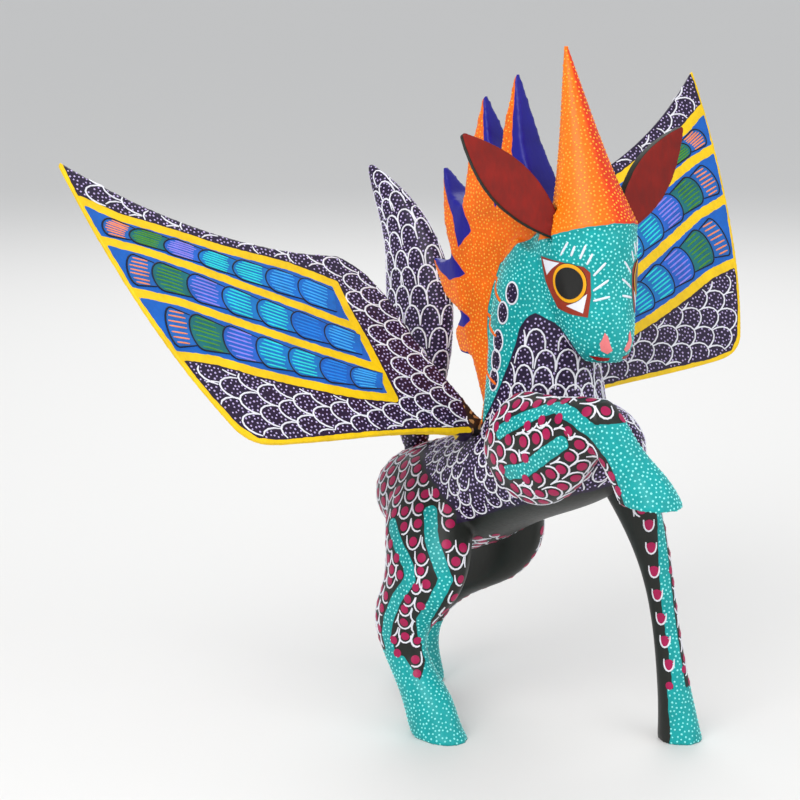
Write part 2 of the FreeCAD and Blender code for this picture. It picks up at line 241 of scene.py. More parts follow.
def shaded_horn_blend(tree):
    """Painted light and shade on the horn: it runs from lit golden orange on its right to shaded red orange
    on its left, by which way the surface faces.
    """
    turn = node_at(tree, "ShaderNodeAttribute", attribute_name="horn_shade_turn")
    ramp = node_at(tree, "ShaderNodeValToRGB")
    ramp.color_ramp.elements[0].color = LIT_HORN_GOLD
    ramp.color_ramp.elements[1].color = SHADED_HORN_RED
    ramp.color_ramp.elements[1].position = 0.74
    middle = ramp.color_ramp.elements.new(0.6)
    middle.color = ORANGE
    tree.links.new(turn.outputs["Fac"], ramp.inputs["Fac"])
    return ramp.outputs["Color"]


# ------------------------------------------------------------------ making pieces


def placed(name, data):
    """A new object in the scene, at the origin."""
    thing = bpy.data.objects.new(name, data)
    bpy.context.scene.collection.objects.link(thing)
    return thing


def mesh_from(work, name):
    """Ends a bmesh as a new mesh."""
    mesh = bpy.data.meshes.new(name)
    work.to_mesh(mesh)
    work.free()
    return mesh


def new_piece(name, mesh, body, material):
    """A finished mesh becomes a piece that rides on its body."""
    mesh.name = name
    piece = placed(name, mesh)
    mesh.materials.clear()
    mesh.materials.append(material)
    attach(piece, body)
    return piece


def baked(thing):
    """Mesh of an object with its modifiers applied; the object itself is removed."""
    graph = bpy.context.evaluated_depsgraph_get()
    mesh = bpy.data.meshes.new_from_object(thing.evaluated_get(graph), depsgraph=graph)
    bpy.data.objects.remove(thing)
    return mesh


def merged_copy(node):
    """Helper object with the CAD node's mesh, its loose triangles joined."""
    mesh = nodes[node].data.copy()
    work = bmesh.new()
    work.from_mesh(mesh)
    bmesh.ops.remove_doubles(work, verts=work.verts, dist=1e-6)
    work.to_mesh(mesh)
    work.free()
    return placed(node + "_work", mesh)


def carved_mesh(node, cut, sanding):
    """The node as a carver leaves it: one skin, its joints blended, sanded smooth."""
    thing = merged_copy(node)
    carve = thing.modifiers.new("carve", "REMESH")
    carve.mode = "VOXEL"
    carve.voxel_size = cut * MM
    sand = thing.modifiers.new("sand", "SMOOTH")
    sand.factor = 0.5
    sand.iterations = sanding
    mesh = baked(thing)
    work = bmesh.new()
    work.from_mesh(mesh)
    for vertex in work.verts:
        if vertex.co.z < 0.35 * MM:
            vertex.co.z = 0
    bmesh.ops.triangulate(work, faces=work.faces)
    work.to_mesh(mesh)
    work.free()
    mesh.shade_smooth()
    return mesh


class Skin:
    """A carved mesh in layout millimetres, to find where paint meets it."""

    def __init__(self, mesh):
        count = len(mesh.vertices)
        points = np.empty(count * 3)
        mesh.vertices.foreach_get("co", points)
        self.points = (points.reshape(-1, 3) - np.array(START)) / MM
        normals = np.empty(count * 3)
        mesh.vertices.foreach_get("normal", normals)
        self.normals = normals.reshape(-1, 3)
        triangles = np.empty(len(mesh.polygons) * 3, dtype=np.int32)
        mesh.polygons.foreach_get("vertices", triangles)
        self.triangles = triangles.reshape(-1, 3)
        self.tree = BVHTree.FromPolygons(self.points.tolist(), self.triangles.tolist())

    def cast(self, start, direction):
        place, normal, _, _ = self.tree.ray_cast(Vector(start), Vector(direction), 80)
        return (place, normal) if place else None

    def near(self, point):
        place, normal, _, _ = self.tree.find_nearest(Vector(point))
        return place, normal

    def sample(self, count, seed):
        """Even random places over the whole skin, with their normals."""
        dice = np.random.default_rng(seed)
        corners = self.points[self.triangles]
        cross = np.cross(corners[:, 1] - corners[:, 0], corners[:, 2] - corners[:, 0])
        area = np.linalg.norm(cross, axis=1)
        pick = dice.choice(len(area), size=count, p=area / area.sum())
        first = dice.random(count)
        second = dice.random(count)
        fold = first + second > 1
        first[fold] = 1 - first[fold]
        second[fold] = 1 - second[fold]
        base = corners[pick, 0]
        one_way = (corners[pick, 1] - base) * first[:, None]
        other_way = (corners[pick, 2] - base) * second[:, None]
        places = base + one_way + other_way
        smooth = self.normals[self.triangles[pick]].mean(axis=1)
        return places, smooth / np.linalg.norm(smooth, axis=1)[:, None]


def keep_field(mesh, name, values):
    """Stores one value a vertex as an attribute that the materials read."""
    attribute = mesh.attributes.new(name, "FLOAT", "POINT")
    attribute.data.foreach_set("value", np.asarray(values, dtype=np.float32))


def line_mesh(lines, radius, sink, name):
    """Raised paint lines: each line is a list of (place, normal), sunk so a low bead shows."""
    curve = bpy.data.curves.new(name, "CURVE")
    curve.dimensions = "3D"
    curve.bevel_depth = radius * MM
    curve.bevel_resolution = 1
    curve.use_fill_caps = True
    for line in lines:
        spline = curve.splines.new("POLY")
        spline.points.add(len(line) - 1)
        for number, (place, normal) in enumerate(line):
            spot = to_frame(Vector(place) - Vector(normal) * sink)
            spline.points[number].co = (*spot, 1)
            spline.points[number].radius = 0.7 if number in (0, len(line) - 1) else 1.0
    mesh = baked(placed(name, curve))
    mesh.shade_smooth()
    return mesh


def dot_shape():
    """Low round drop of paint, one unit wide, that the dots repeat."""
    work = bmesh.new()
    bmesh.ops.create_icosphere(work, subdivisions=1, radius=1)
    bmesh.ops.scale(work, vec=(1, 1, 0.42), verts=work.verts)
    mesh = mesh_from(work, "paint_drop")
    mesh.shade_smooth()
    return placed("paint_drop", mesh)


def scatter_group(drop):
    """Puts the drop on every point, turned to its normal and scaled to its girth."""
    tree = bpy.data.node_groups.new("scatter", "GeometryNodeTree")
    tree.interface.new_socket("Geometry", in_out="INPUT", socket_type="NodeSocketGeometry")
    tree.interface.new_socket("Geometry", in_out="OUTPUT", socket_type="NodeSocketGeometry")
    entry = node_at(tree, "NodeGroupInput")
    leave = node_at(tree, "NodeGroupOutput")
    shape = node_at(tree, "GeometryNodeObjectInfo")
    shape.inputs["Object"].default_value = drop
    facing = node_at(tree, "GeometryNodeInputNamedAttribute", data_type="FLOAT_VECTOR")
    facing.inputs["Name"].default_value = "facing"
    girth = node_at(tree, "GeometryNodeInputNamedAttribute", data_type="FLOAT")
    girth.inputs["Name"].default_value = "girth"
    align = node_at(tree, "FunctionNodeAlignRotationToVector", axis="Z")
    place = node_at(tree, "GeometryNodeInstanceOnPoints")
    real = node_at(tree, "GeometryNodeRealizeInstances")
    link = tree.links.new
    link(entry.outputs[0], place.inputs["Points"])
    link(shape.outputs["Geometry"], place.inputs["Instance"])
    link(facing.outputs["Attribute"], align.inputs["Vector"])
    link(align.outputs["Rotation"], place.inputs["Rotation"])
    link(girth.outputs["Attribute"], place.inputs["Scale"])
    link(place.outputs["Instances"], real.inputs["Geometry"])
    link(real.outputs["Geometry"], leave.inputs[0])
    return tree


DROP = dot_shape()
SCATTER = scatter_group(DROP)


def dots_mesh(places, normals, radius, seed):
    """One mesh of paint drops at the places, each a little larger or smaller."""
    dice = np.random.default_rng(seed)
    count = len(places)
    mesh = bpy.data.meshes.new("dots")
    mesh.vertices.add(count)
    spots = np.array(START) + np.asarray(places) * MM
    mesh.vertices.foreach_set("co", spots.astype(np.float32).ravel())
    facing = mesh.attributes.new("facing", "FLOAT_VECTOR", "POINT")
    facing.data.foreach_set("vector", np.asarray(normals, dtype=np.float32).ravel())
    keep_field(mesh, "girth", radius * MM * (0.85 + 0.3 * dice.random(count)))
    thing = placed("dots", mesh)
    thing.modifiers.new("scatter", "NODES").node_group = SCATTER
    return baked(thing)


def spaced(places, normals, gap):
    """Keeps the places that stand at least the gap from every earlier one."""
    kept = []
    cells = {}
    for number, place in enumerate(places.tolist()):
        cell = tuple(math.floor(part / gap) for part in place)
        beside = itertools.product(*((part - 1, part, part + 1) for part in cell))
        others = [other for around in beside for other in cells.get(around, ())]
        if all(math.dist(place, other) >= gap for other in others):
            cells.setdefault(cell, []).append(place)
            kept.append(number)
    return places[kept], normals[kept]


def line_tree(lines):
    """Search tree over the painted lines, filled in between their points."""
    spots = []
    for line in lines:
        for (here, _), (there, _) in zip(line, line[1:]):
            for share in (0, 0.25, 0.5, 0.75):
                spots.append(Vector(here).lerp(Vector(there), share))
    tree = KDTree(max(len(spots), 1))
    for number, spot in enumerate(spots):
        tree.insert(spot, number)
    tree.balance()
    return tree


def clear_of(tree, places, gap):
    """Which places stand clear of every painted line."""
    return np.array([(tree.find(Vector(place))[2] or 99) > gap for place in places], dtype=bool)


# ------------------------------------------------------------------ signed distances


def outline_depth(outline, across, upward):
    """Distance into a closed outline, positive inside."""
    corners = np.array(outline, dtype=float)
    inside = np.zeros(len(across), dtype=bool)
    nearest = np.full(len(across), 1e9)
    for (ax, ay), (bx, by) in zip(corners, np.roll(corners, -1, axis=0)):
        length = (bx - ax) ** 2 + (by - ay) ** 2
        if length == 0:
            continue
        crosses = (ay > upward) != (by > upward)
        slope = (bx - ax) / (by - ay) if by != ay else 0
        inside ^= crosses & (across < ax + (upward - ay) * slope)
        share = np.clip(((across - ax) * (bx - ax) + (upward - ay) * (by - ay)) / length, 0, 1)
        gap = np.hypot(across - ax - share * (bx - ax), upward - ay - share * (by - ay))
        nearest = np.minimum(nearest, gap)
    return np.where(inside, nearest, -nearest)


def route_gap(route, places):
    """Distance from each place to a route through points."""
    nearest = np.full(len(places), 1e9)
    for start, end in zip(route, route[1:]):
        start = np.array(start, dtype=float)
        run = np.array(end, dtype=float) - start
        share = np.clip((places - start) @ run / (run @ run), 0, 1)
        gap = np.linalg.norm(places - start - share[:, None] * run, axis=1)
        nearest = np.minimum(nearest, gap)
    return nearest


# ------------------------------------------------------------------ scallops


def polar_route(stations):
    """Middle line of a limb: the place at any reach along it, and its length."""
    points = [Vector(station) for station in stations]
    lengths = [0.0]
    for start, end in zip(points, points[1:]):
        lengths.append(lengths[-1] + (end - start).length)
    rows = np.array(points)

    def middle(reach):
        return Vector([float(np.interp(reach, lengths, rows[:, axis])) for axis in range(3)])

    return middle, lengths[-1]


class Sleeve:
    """The skin round a limb's middle line, found by reach along it and millimetres round it."""

    def __init__(self, skin, stations, side, spokes=40, pitch=3.0, widest=21.0):
        self.skin = skin
        self.side = Vector(side)
        self.middle, self.length = polar_route(stations)
        self.pitch = pitch
        self.turns = np.linspace(0, 2 * math.pi, spokes + 1)
        step = 2 * math.pi / spokes
        self.rounds = []
        for ring in range(int(self.length / pitch) + 2):
            reach = ring * pitch
            girths = []
            for turn in self.turns:
                hit = self.cast(reach, turn)
                girth = (hit[0] - self.middle(reach)).length if hit else widest
                girths.append(min(girth, widest))
            girths = np.array(girths)
            one, two = girths[:-1], girths[1:]
            chords = np.sqrt(one**2 + two**2 - 2 * one * two * math.cos(step))
            self.rounds.append(np.concatenate(([0], np.cumsum(chords))))

    def cast(self, reach, turn):
        ahead = self.middle(min(reach + 2, self.length))
        behind = self.middle(max(min(reach, self.length) - 2, 0))
        run = (ahead - behind).normalized()
        across = (self.side - run * self.side.dot(run)).normalized()
        upward = run.cross(across)
        centre = self.middle(reach)
        return self.skin.cast(centre, across * math.cos(turn) + upward * math.sin(turn))

    def ring(self, reach):
        """Millimetres round the limb up to each spoke, at the ring nearest to a reach."""
        number = min(max(int(round(reach / self.pitch)), 0), len(self.rounds) - 1)
        return self.rounds[number]

    def around(self, reach):
        """Length once round the limb at a reach."""
        return self.ring(reach)[-1]

    def turn(self, reach, distance):
        """Angle that lies so many millimetres round the limb at a reach."""
        table = self.ring(reach)
        return float(np.interp(distance % table[-1], table, self.turns))


# An arc is split where its points stand further apart than this, as where they jump to another
# limb, and stretches of fewer points are dropped.
LONGEST_STEP = 3.2
FEWEST_POINTS = 3


def kept_runs(points, keep):
    """Splits an arc where it leaves its painted zone, and drops scraps."""
    places = np.array([place for place, _ in points])
    normals = np.array([normal for _, normal in points])
    runs = []
    current = []
    for point, wanted in zip(points, keep(places, normals)):
        far = current and (point[0] - current[-1][0]).length > LONGEST_STEP
        if wanted and not far:
            current.append(point)
        else:
            runs.append(current)
            current = [point] if wanted else []
    runs.append(current)
    return [run for run in runs if len(run) >= FEWEST_POINTS]


ARC_STEPS = [math.pi * step / 8 for step in range(9)]
# A scallop's heart lies this share of its height on from its open end.
HEART_SHARE = 0.45
# Hearts nearer than this share of a scallop's width would tangle; further ones leave a gap.
CROWDED = 0.68
BARE = 0.86
# A spot's radius as a share of its scallop's width.
SPOT_SHARE = 0.29


def scallop(skin, heart, onward, width, tall):
    """One scallop on the skin round its heart, its round end lying onward."""
    place, normal = heart
    ahead = (onward - normal * onward.dot(normal)).normalized()
    beside = normal.cross(ahead)
    points = []
    for step in ARC_STEPS:
        out = ahead * (tall * (math.sin(step) ** 0.8 - HEART_SHARE))
        points.append(skin.near(place + out + beside * (0.5 * width * math.cos(step))))
    return points


def gap_to(others, place):
    """Distance to the nearest of the other places, or a long way where there are none."""
    return min([(place - other).length for other in others], default=99)


def limb_scales(sleeve, widths, keep, seed, rise=0.86, onward=1):
    """Rows of scallops round a limb, and the heart of each for its spot.

    The round ends lie towards the limb's end, or towards its start where onward is -1."""
    dice = random.Random(seed)
    arcs = []
    hearts = []
    taken = []
    reach = 0.5
    row = 0
    while reach < sleeve.length:
        width = widths[0] + (widths[1] - widths[0]) * reach / sleeve.length
        count = max(4, round(sleeve.around(reach) / width))
        pitch = sleeve.around(reach) / count
        tall = rise * width
        for number in range(count):
            centre = (number + 0.5 * (row % 2) + dice.uniform(-0.08, 0.08)) * pitch
            along = reach + (HEART_SHARE * onward + dice.uniform(-0.1, 0.1)) * tall
            heart = sleeve.cast(along, sleeve.turn(reach, centre))
            if not heart or gap_to(taken, heart[0]) < CROWDED * width:
                continue
            taken.append(heart[0])
            run = (sleeve.middle(min(reach + 3, sleeve.length)) - sleeve.middle(max(reach - 3, 0))) * onward
            arcs += kept_runs(scallop(sleeve.skin, heart, run, min(pitch, 1.1 * width), tall), keep)
            if keep(np.array([heart[0]]), np.array([heart[1]]))[0]:
                hearts.append((heart[0], heart[1], SPOT_SHARE * min(pitch, width)))
        reach += tall
        row += 1
    return arcs, hearts


def flank_scales(sleeve, keep, seed, width=4.6, tall=3.9):
    """Rows of scallops down both flanks of the barrel, their round ends down."""
    dice = random.Random(seed)
    arcs = []
    taken = []
    for side in (-1, 1):
        for row in range(14):
            for number in range(int(sleeve.length / width) + 1):
                along = (number + 0.5 * (row % 2) + dice.uniform(-0.09, 0.09)) * width
                down = 1.5 + (row + HEART_SHARE + dice.uniform(-0.08, 0.08)) * tall
                heart = sleeve.cast(along, sleeve.turn(along, side * down))
                if heart and gap_to(taken, heart[0]) > CROWDED * width:
                    taken.append(heart[0])
                    onward = Vector((0, 0.6 * side, -1))
                    arcs += kept_runs(scallop(sleeve.skin, heart, onward, width, tall), keep)
    return arcs


def gap_scales(skin, hearts, keep, seed, width=4.6, tall=3.9):
    """Scallops where the rows round a limb leave bare paint, as on the outside of a bend."""
    arcs = []
    added = []
    places, normals = skin.sample(20000, seed)
    wanted = keep(places, normals)
    for place, normal in zip(places[wanted], normals[wanted]):
        heart = (Vector(place), Vector(normal))
        if gap_to([other[0] for other in hearts + added], heart[0]) > BARE * width:
            added.append((*heart, SPOT_SHARE * width))
            arcs += kept_runs(scallop(skin, heart, -UP, width, tall), keep)
    return arcs, added


# ------------------------------------------------------------------ draped patches


def draped_patch(skin, outlines, lift, cuts=5):
    """Thin coat of paint inside closed outlines, laid on the skin."""
    work = bmesh.new()
    for outline in outlines:
        corners = [work.verts.new(point) for point in outline]
        work.faces.new(corners)
    bmesh.ops.triangulate(work, faces=work.faces)
    bmesh.ops.subdivide_edges(work, edges=work.edges, cuts=cuts, use_grid_fill=True)
    for vertex in work.verts:
        place, normal = skin.near(vertex.co)
        vertex.co = place + normal * lift
    bmesh.ops.recalc_face_normals(work, faces=work.faces)
    for face in work.faces:
        _, normal = skin.near(face.calc_center_median())
        if face.normal.dot(normal) < 0:
            face.normal_flip()
    for vertex in work.verts:
        vertex.co = to_frame(vertex.co)
    mesh = mesh_from(work, "patch")
    mesh.shade_smooth()
    return mesh


def disc_outline(centre, normal, radius, segments=14):
    """Ring of points round a centre, square to the normal."""
    normal = Vector(normal).normalized()
    across = normal.orthogonal().normalized()
    upward = normal.cross(across)
    ring = []
    for step in range(segments):
        turn = 2 * math.pi * step / segments
        ring.append(Vector(centre) + (across * math.cos(turn) + upward * math.sin(turn)) * radius)
    return ring


# How far the middle of a spot stands above its rim.
DOME = 0.22


def spots_mesh(skin, spots, lift):
    """Round paint spots laid on the skin, a little domed."""
    work = bmesh.new()
    for place, normal, radius in spots:
        turn = UP.rotation_difference(Vector(normal)).to_matrix().to_4x4()
        made = bmesh.ops.create_circle(
            work,
            cap_ends=True,
            segments=12,
            radius=radius,
            matrix=Matrix.Translation(Vector(place)) @ turn,
        )
        faces = list({face for vertex in made["verts"] for face in vertex.link_faces})
        poked = bmesh.ops.poke(work, faces=faces)
        for vertex in made["verts"] + poked["verts"]:
            spot, out = skin.near(vertex.co)
            vertex.co = spot + out * (lift + DOME if vertex in poked["verts"] else lift)
    for vertex in work.verts:
        vertex.co = to_frame(vertex.co)
    mesh = mesh_from(work, "spots")
    mesh.shade_smooth()
    return mesh


# ------------------------------------------------------------------ where each colour lies on the body

# Side outlines in x, z for the right side; the left side takes its twin across the head's plane.
MANE_EDGE = (
    (20, 141.5), (11.6, 135.6), (8, 132.3), (1.2, 128.5), (-0.8, 124), (-2.4, 119.5), (-3.4, 115.8),
    (-3.6, 110), (-2.7, 103), (-1, 97), (2, 86),
)
MANE_OUTLINE = MANE_EDGE + ((-6, 84), (-30, 90), (-60, 100), (-60, 200), (20, 200))
HEAD_OUTLINE = MANE_EDGE + (
    (5, 90), (8, 95), (11.2, 102), (13.8, 108.4), (15.5, 114), (17.2, 116.5), (19.9, 118.3),
    (22.9, 116.6), (27.2, 114.1), (30.6, 111.7), (33.1, 108), (34, 103), (60, 100), (60, 155),
    (20, 155),
)
HIND_LEG_OUTLINE = (
    (-60, 80), (-27, 76), (-18, 71), (-10, 67.5), (-4, 62), (-2, 56), (10, 48), (10, -5), (-70, -5),
    (-70, 80),
)
FORE_LEG_OUTLINE = ((20, 70), (40, 72), (60, 74), (60, -5), (20, -5))
FLAME_WEDGES = (
    ((1, 181), (13.5, 150), (15.5, 144), (12, 138), (8, 146), (4, 158)),
    ((-11.5, 174), (0.5, 156), (2.5, 148), (-1, 143), (-4, 152), (-8, 162)),
    ((-28, 154), (-14, 143), (-10, 136), (-15, 131), (-18, 139), (-24, 147)),
    ((-32, 126.5), (-18, 129), (-12, 124), (-19, 121.5), (-25, 124)),
    ((-18, 109.5), (-14, 114), (-9.5, 112), (-13, 109.5)),
)
RIGHT_HIND_STRIPES = (
    (
        (-20.6, -24.6, 55.9), (-15.8, -26.7, 51.6), (-10.4, -27.9, 47.4), (-8.8, -28.6, 43.7),
        (-13.6, -29.4, 37.2), (-16.9, -29.4, 30.7), (-18, -29.1, 26.1), (-15.7, -29, 20),
    ),
    (
        (-9.2, -21, 61.2), (-5.4, -23.8, 54.6), (-2.2, -24.5, 49.9), (0.6, -24.2, 44.9),
        (-1.5, -25.9, 39.2), (-6.1, -26, 32.5), (-10.5, -22, 24.7), (-9, -22, 18),
    ),
)
LEFT_HIND_STRIPES = (
    ((-13, 23, 62), (-15, 24, 52), (-22, 22.5, 40), (-32, 20, 31), (-41, 17, 23), (-46, 14, 16)),
    ((-27, 20, 58), (-30, 20, 46), (-38, 17, 36), (-48, 12, 26), (-50, 9, 16)),
)
LEFT_FORE_STRIPE = (
    (37.3, 20.3, 67), (37.9, 20.3, 60.1), (38.9, 20, 53), (39.6, 20, 44.8), (40.5, 20.4, 36.5),
    (41.9, 21, 28.2), (43.4, 21.3, 20), (45, 21.3, 12.9),
)
FORE_SPOTS = (
    (36.4, 16.1, 60), (36.8, 16.8, 53.7), (37.3, 17.6, 47.1), (38, 18.3, 40.6), (39, 18.9, 34.1),
    (40.2, 19.3, 27.9), (41.6, 19.6, 21.5),
)
# Where the two stripes of the right hind leg meet and close its dark paint in a notch.
HOOF_NOTCH = (-6.1, -27.3, 15.3)
ARM_STRIPES = (
    (
        (26.2, -29.8, 90.6), (33.6, -30.1, 95), (41.5, -29.3, 98.7), (45.7, -29.1, 100.1),
        (51.9, -30.6, 99.3), (57.5, -30.1, 96.5), (60.5, -28.6, 93.5), (63, -26.5, 89.5),
    ),
    ((29.4, -30, 80.6), (36.5, -31, 82.8), (43.9, -31.6, 88.1), (49.5, -31.6, 92)),
)


# Level direction to the right of a viewer who stands off the figure's right front.
VIEWER_RIGHT = np.array((0.65, 0.73, 0))
# Outside a zone's own part of the figure, its depth.
NOWHERE = -9
# Millimetres of depth for one unit of a normal's lean.
LEAN = 6


def columns(places):
    return places[:, 0], places[:, 1], places[:, 2]


def twin_x(places):
    """x as it would be on the right side, mirrored across the head's plane above the chest."""
    x, y, z = columns(places)
    rel = places - np.array(NAPE)
    ahead = rel @ np.array((FACE.x, FACE.y, 0))
    sideways = np.abs(rel @ np.array((CHEEK.x, CHEEK.y, 0)))
    turned = NAPE.x + FACE.x * ahead - CHEEK.x * sideways
    share = np.clip((z - 90) / 15, 0, 1)
    return x + (turned - x) * share


def horn_reach(places):
    """Height up the horn's axis, and how far off it a place stands."""
    rel = places - np.array(HORN_BASE)
    axis = np.array(HORN_AXIS)
    height = rel @ axis
    return height, np.linalg.norm(rel - height[:, None] * axis, axis=1)


def stripe_depth(routes, places, half_width):
    """Depth into stripes of a half width along some routes."""
    gap = np.min([route_gap(route, places) for route in routes], axis=0)
    return half_width - gap


def low_teal(places, fore_leg, outer):
    """Depth into the teal hooves of the standing legs and the stripes that run down to them."""
    x, y, z = columns(places)
    from_notch = (places - np.array(HOOF_NOTCH)) @ VIEWER_RIGHT
    notch = HOOF_NOTCH[2] + np.clip(np.maximum(-1.4 * from_notch, 3 * from_notch), 0, 6)
    zones = (
        ((y < -13) & (x < 14) & (z < 40), notch - z),
        ((y > -2) & (x < -25) & (z < 40), 17 - z),
        (fore_leg, np.minimum(15 - z, outer * LEAN)),
        (y < 0, stripe_depth(RIGHT_HIND_STRIPES, places, 1.9)),
        (y > 0, stripe_depth(LEFT_HIND_STRIPES, places, 1.9)),
        (fore_leg, stripe_depth((LEFT_FORE_STRIPE,), places, 1.85)),
    )
    depth = np.max([np.where(part, zone, NOWHERE) for part, zone in zones], axis=0)
    return np.where(z < 70, depth, NOWHERE)


def flame_blue(places, normals, flames):
    """Depth into the blue of the mane: its wedges, the faces cut forward beside them, and
    the undersides of the lower flames."""
    x, _, z = columns(places)
    sideways = (0.62 - np.abs(normals[:, 1])) * LEAN
    forward = (normals[:, 0] + 0.35 * normals[:, 2] - 0.05) * 8
    wedge = np.max([outline_depth(outline, x, z) for outline in FLAME_WEDGES], axis=0)
    beside_wedge = np.min([sideways, forward, wedge + 2.5], axis=0)
    underside = np.where((x < -11) & (z < 112), (-normals[:, 2] - 0.35) * LEAN, NOWHERE)
    return np.minimum(np.max([beside_wedge, wedge, underside], axis=0), flames)


def body_fields(places, normals):
    """Signed depth in millimetres into each painted zone of the body."""
    x, y, z = columns(places)
    rel = places - np.array(TORSO_MIDDLE)
    along = rel @ np.array(TORSO_ALONG)
    above = rel @ np.array(TORSO_ABOVE)
    side_x = twin_x(places)
    belly_edge = np.interp(along, (-50, -5, 8, 36, 50), (-9, -9.9, -10, -13.1, -13))
    hind = outline_depth(HIND_LEG_OUTLINE, x, z)
    fore = outline_depth(FORE_LEG_OUTLINE, x, z)
    head = outline_depth(HEAD_OUTLINE, side_x, z)
    mane = outline_depth(MANE_OUTLINE, side_x, z)
    ridge = np.min([2.4 - np.abs(y), above - 9, 10 - along], axis=0)
    height, off_axis = horn_reach(places)
    horn_girth = np.interp(height, (-5, 0, 4, 18, 32, 50), (12, 12, 10.8, 7.2, 4.2, 1.5)) + 2.1
    horn = np.minimum(height - 0.1, horn_girth - off_axis)
    fore_leg = (x > 24) & (y > 8) & (z < 78)
    outer = normals @ np.array((0.79, 0.62, 0)) + 0.4
    return {
        "night": np.min([above - belly_edge, -hind, -fore], axis=0),
        "teal": np.maximum(head, low_teal(places, fore_leg, outer)),
        "orange": np.maximum(mane, ridge),
        "blue": flame_blue(places, normals, np.minimum(mane - 1.0, -horn)),
        "horn": horn,
        "fore_leg": np.where(fore_leg, np.minimum(fore, 5), NOWHERE),
        "hind_leg": hind,
        "outer": outer,
        # Painted shade on the horn: the normal's lean towards the viewer's right, which turns the horn a
        # shaded red orange on that side.
        "horn_shade_turn": 0.5 + 0.5 * (normals @ VIEWER_RIGHT),
    }


def arm_fields(places, normals):
    x, y, z = columns(places)
    stripes = stripe_depth(ARM_STRIPES, places, 1.9)
    shin = np.minimum(x + 0.33 * z - 91.3, 98 - z)
    return {"teal": np.maximum(stripes, shin)}


# ------------------------------------------------------------------ the painted body

body_mesh = carved_mesh("body", 0.7, 6)
body_skin = Skin(body_mesh)
body_zones = body_fields(body_skin.points, body_skin.normals)
for zone in ("night", "teal", "orange", "blue", "horn", "horn_shade_turn"):
    keep_field(body_mesh, zone, body_zones[zone])

painted_body = zoned_paint(
    "body_paint",
    LEG_BLACK,
    (("night", NIGHT), ("teal", TEAL), ("orange", ORANGE), ("blue", FLAME_BLUE), ("horn", shaded_horn_blend)),
)
carved_body = new_piece("carved_body", body_mesh, "figure", painted_body)
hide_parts("body")

arm_mesh = carved_mesh("raised_foreleg", 0.6, 5)
arm_skin = Skin(arm_mesh)
keep_field(arm_mesh, "teal", arm_fields(arm_skin.points, arm_skin.normals)["teal"])
painted_arm = zoned_paint("arm_paint", LEG_BLACK, (("teal", TEAL),))
carved_arm = new_piece("carved_foreleg", arm_mesh, "figure", painted_arm)
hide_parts("raised_foreleg")

tail_mesh = carved_mesh("tail", 0.6, 5)
tail_skin = Skin(tail_mesh)
painted_tail = plain_paint("tail_paint", NIGHT)
carved_tail = new_piece("carved_tail", tail_mesh, "tail", painted_tail)
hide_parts("tail")

chalk_line = plain_paint("chalk_line", CHALK, 0.3, 0.5, 0.15, 0.0)
night_plain = plain_paint("night_plain", NIGHT)
flick_paint = plain_paint("mane_flick", ORANGE)
crimson_spot = plain_paint("crimson_spot", CRIMSON, 0.5, 0.35)
dot_paint = {
    "night": plain_paint("night_dot", NIGHT_DOT, 0.3, 0.5, 0.1, 0.0),
    "teal": plain_paint("teal_dot", TEAL_DOT, 0.3, 0.45, 0.1, 0.0),
    "orange": plain_paint("orange_dot", ORANGE_DOT, 0.3, 0.45, 0.1, 0.0),
}


def night_depth(places, normals):
    """Depth into the dark paint of the barrel and neck, clear of what is laid over it."""
    zones = body_fields(places, normals)
    return np.min([zones["night"], -zones["teal"], -zones["orange"], -zones["horn"]], axis=0)


def torso_keep(places, normals):
    on_neck = (places[:, 2] > 91.5) & (places[:, 0] > -4)
    return (night_depth(places, normals) > 0.5) & ~on_neck


def neck_keep(places, normals):
    return (night_depth(places, normals) > 0.5) & (places[:, 2] > 91) & (places[:, 0] > -4)


def hind_keep(places, normals):
    """The outer sides of the hind legs; between them they are plain."""
    zones = body_fields(places, normals)
    outward = np.where(places[:, 1] < -1, 0.3 - normals[:, 1], normals[:, 1] - 0.1) * LEAN
    return np.min([zones["hind_leg"], -zones["teal"], outward], axis=0) > 0.35


def right_hind_keep(places, normals):
    return hind_keep(places, normals) & (places[:, 1] < 0)


def left_hind_keep(places, normals):
    return hind_keep(places, normals) & (places[:, 1] > 0)


def fore_keep(places, normals):
    zones = body_fields(places, normals)
    beside_spots = route_gap(FORE_SPOTS, places) - 2.6
    outward = (zones["outer"] - 0.05) * LEAN
    painted = np.min([zones["fore_leg"] - 0.3, -zones["teal"], outward, beside_spots], axis=0)
    return painted > 0.3


def arm_keep(places, normals):
    return arm_fields(places, normals)["teal"] < -0.4


RIGHT_HIND_LINE = (
    (-28, -3, 78), (-23, -7, 70), (-18, -12, 61), (-14, -17, 52), (-12, -20.5, 43),
    (-15, -22.3, 34), (-17.5, -23.5, 25), (-12.5, -23.7, 16),
)
LEFT_HIND_LINE = (
    (-28, 3, 78), (-22, 8, 69), (-17, 13, 57), (-18, 14.8, 46), (-24, 14, 37), (-33, 12, 30),
    (-41, 10.5, 22), (-44, 9, 14),
)
LEFT_FORE_LINE = ((30, 18, 66), (34.5, 21, 48), (37, 22, 36), (39.5, 23, 20), (41.5, 23.5, 10))
NECK_LINE = ((17, -1, 126), (14.5, -0.7, 114), (13, -0.3, 102), (13, 0, 88))
ARM_LINE = (
    (24, -19, 84), (36, -23.5, 87.5), (46, -25, 92), (54, -25.4, 95), (60, -23.5, 90.5),
    (65, -21, 82),
)
TAIL_LINE = (
    (-38.5, 0.3, 75), (-40, 2, 88), (-40.5, 3.5, 101), (-42, 4.8, 113), (-45.5, 5.2, 126),
    (-52, 5, 137), (-59, 4.6, 145),
)


def everywhere(places, normals):
    return np.ones(len(places), dtype=bool)


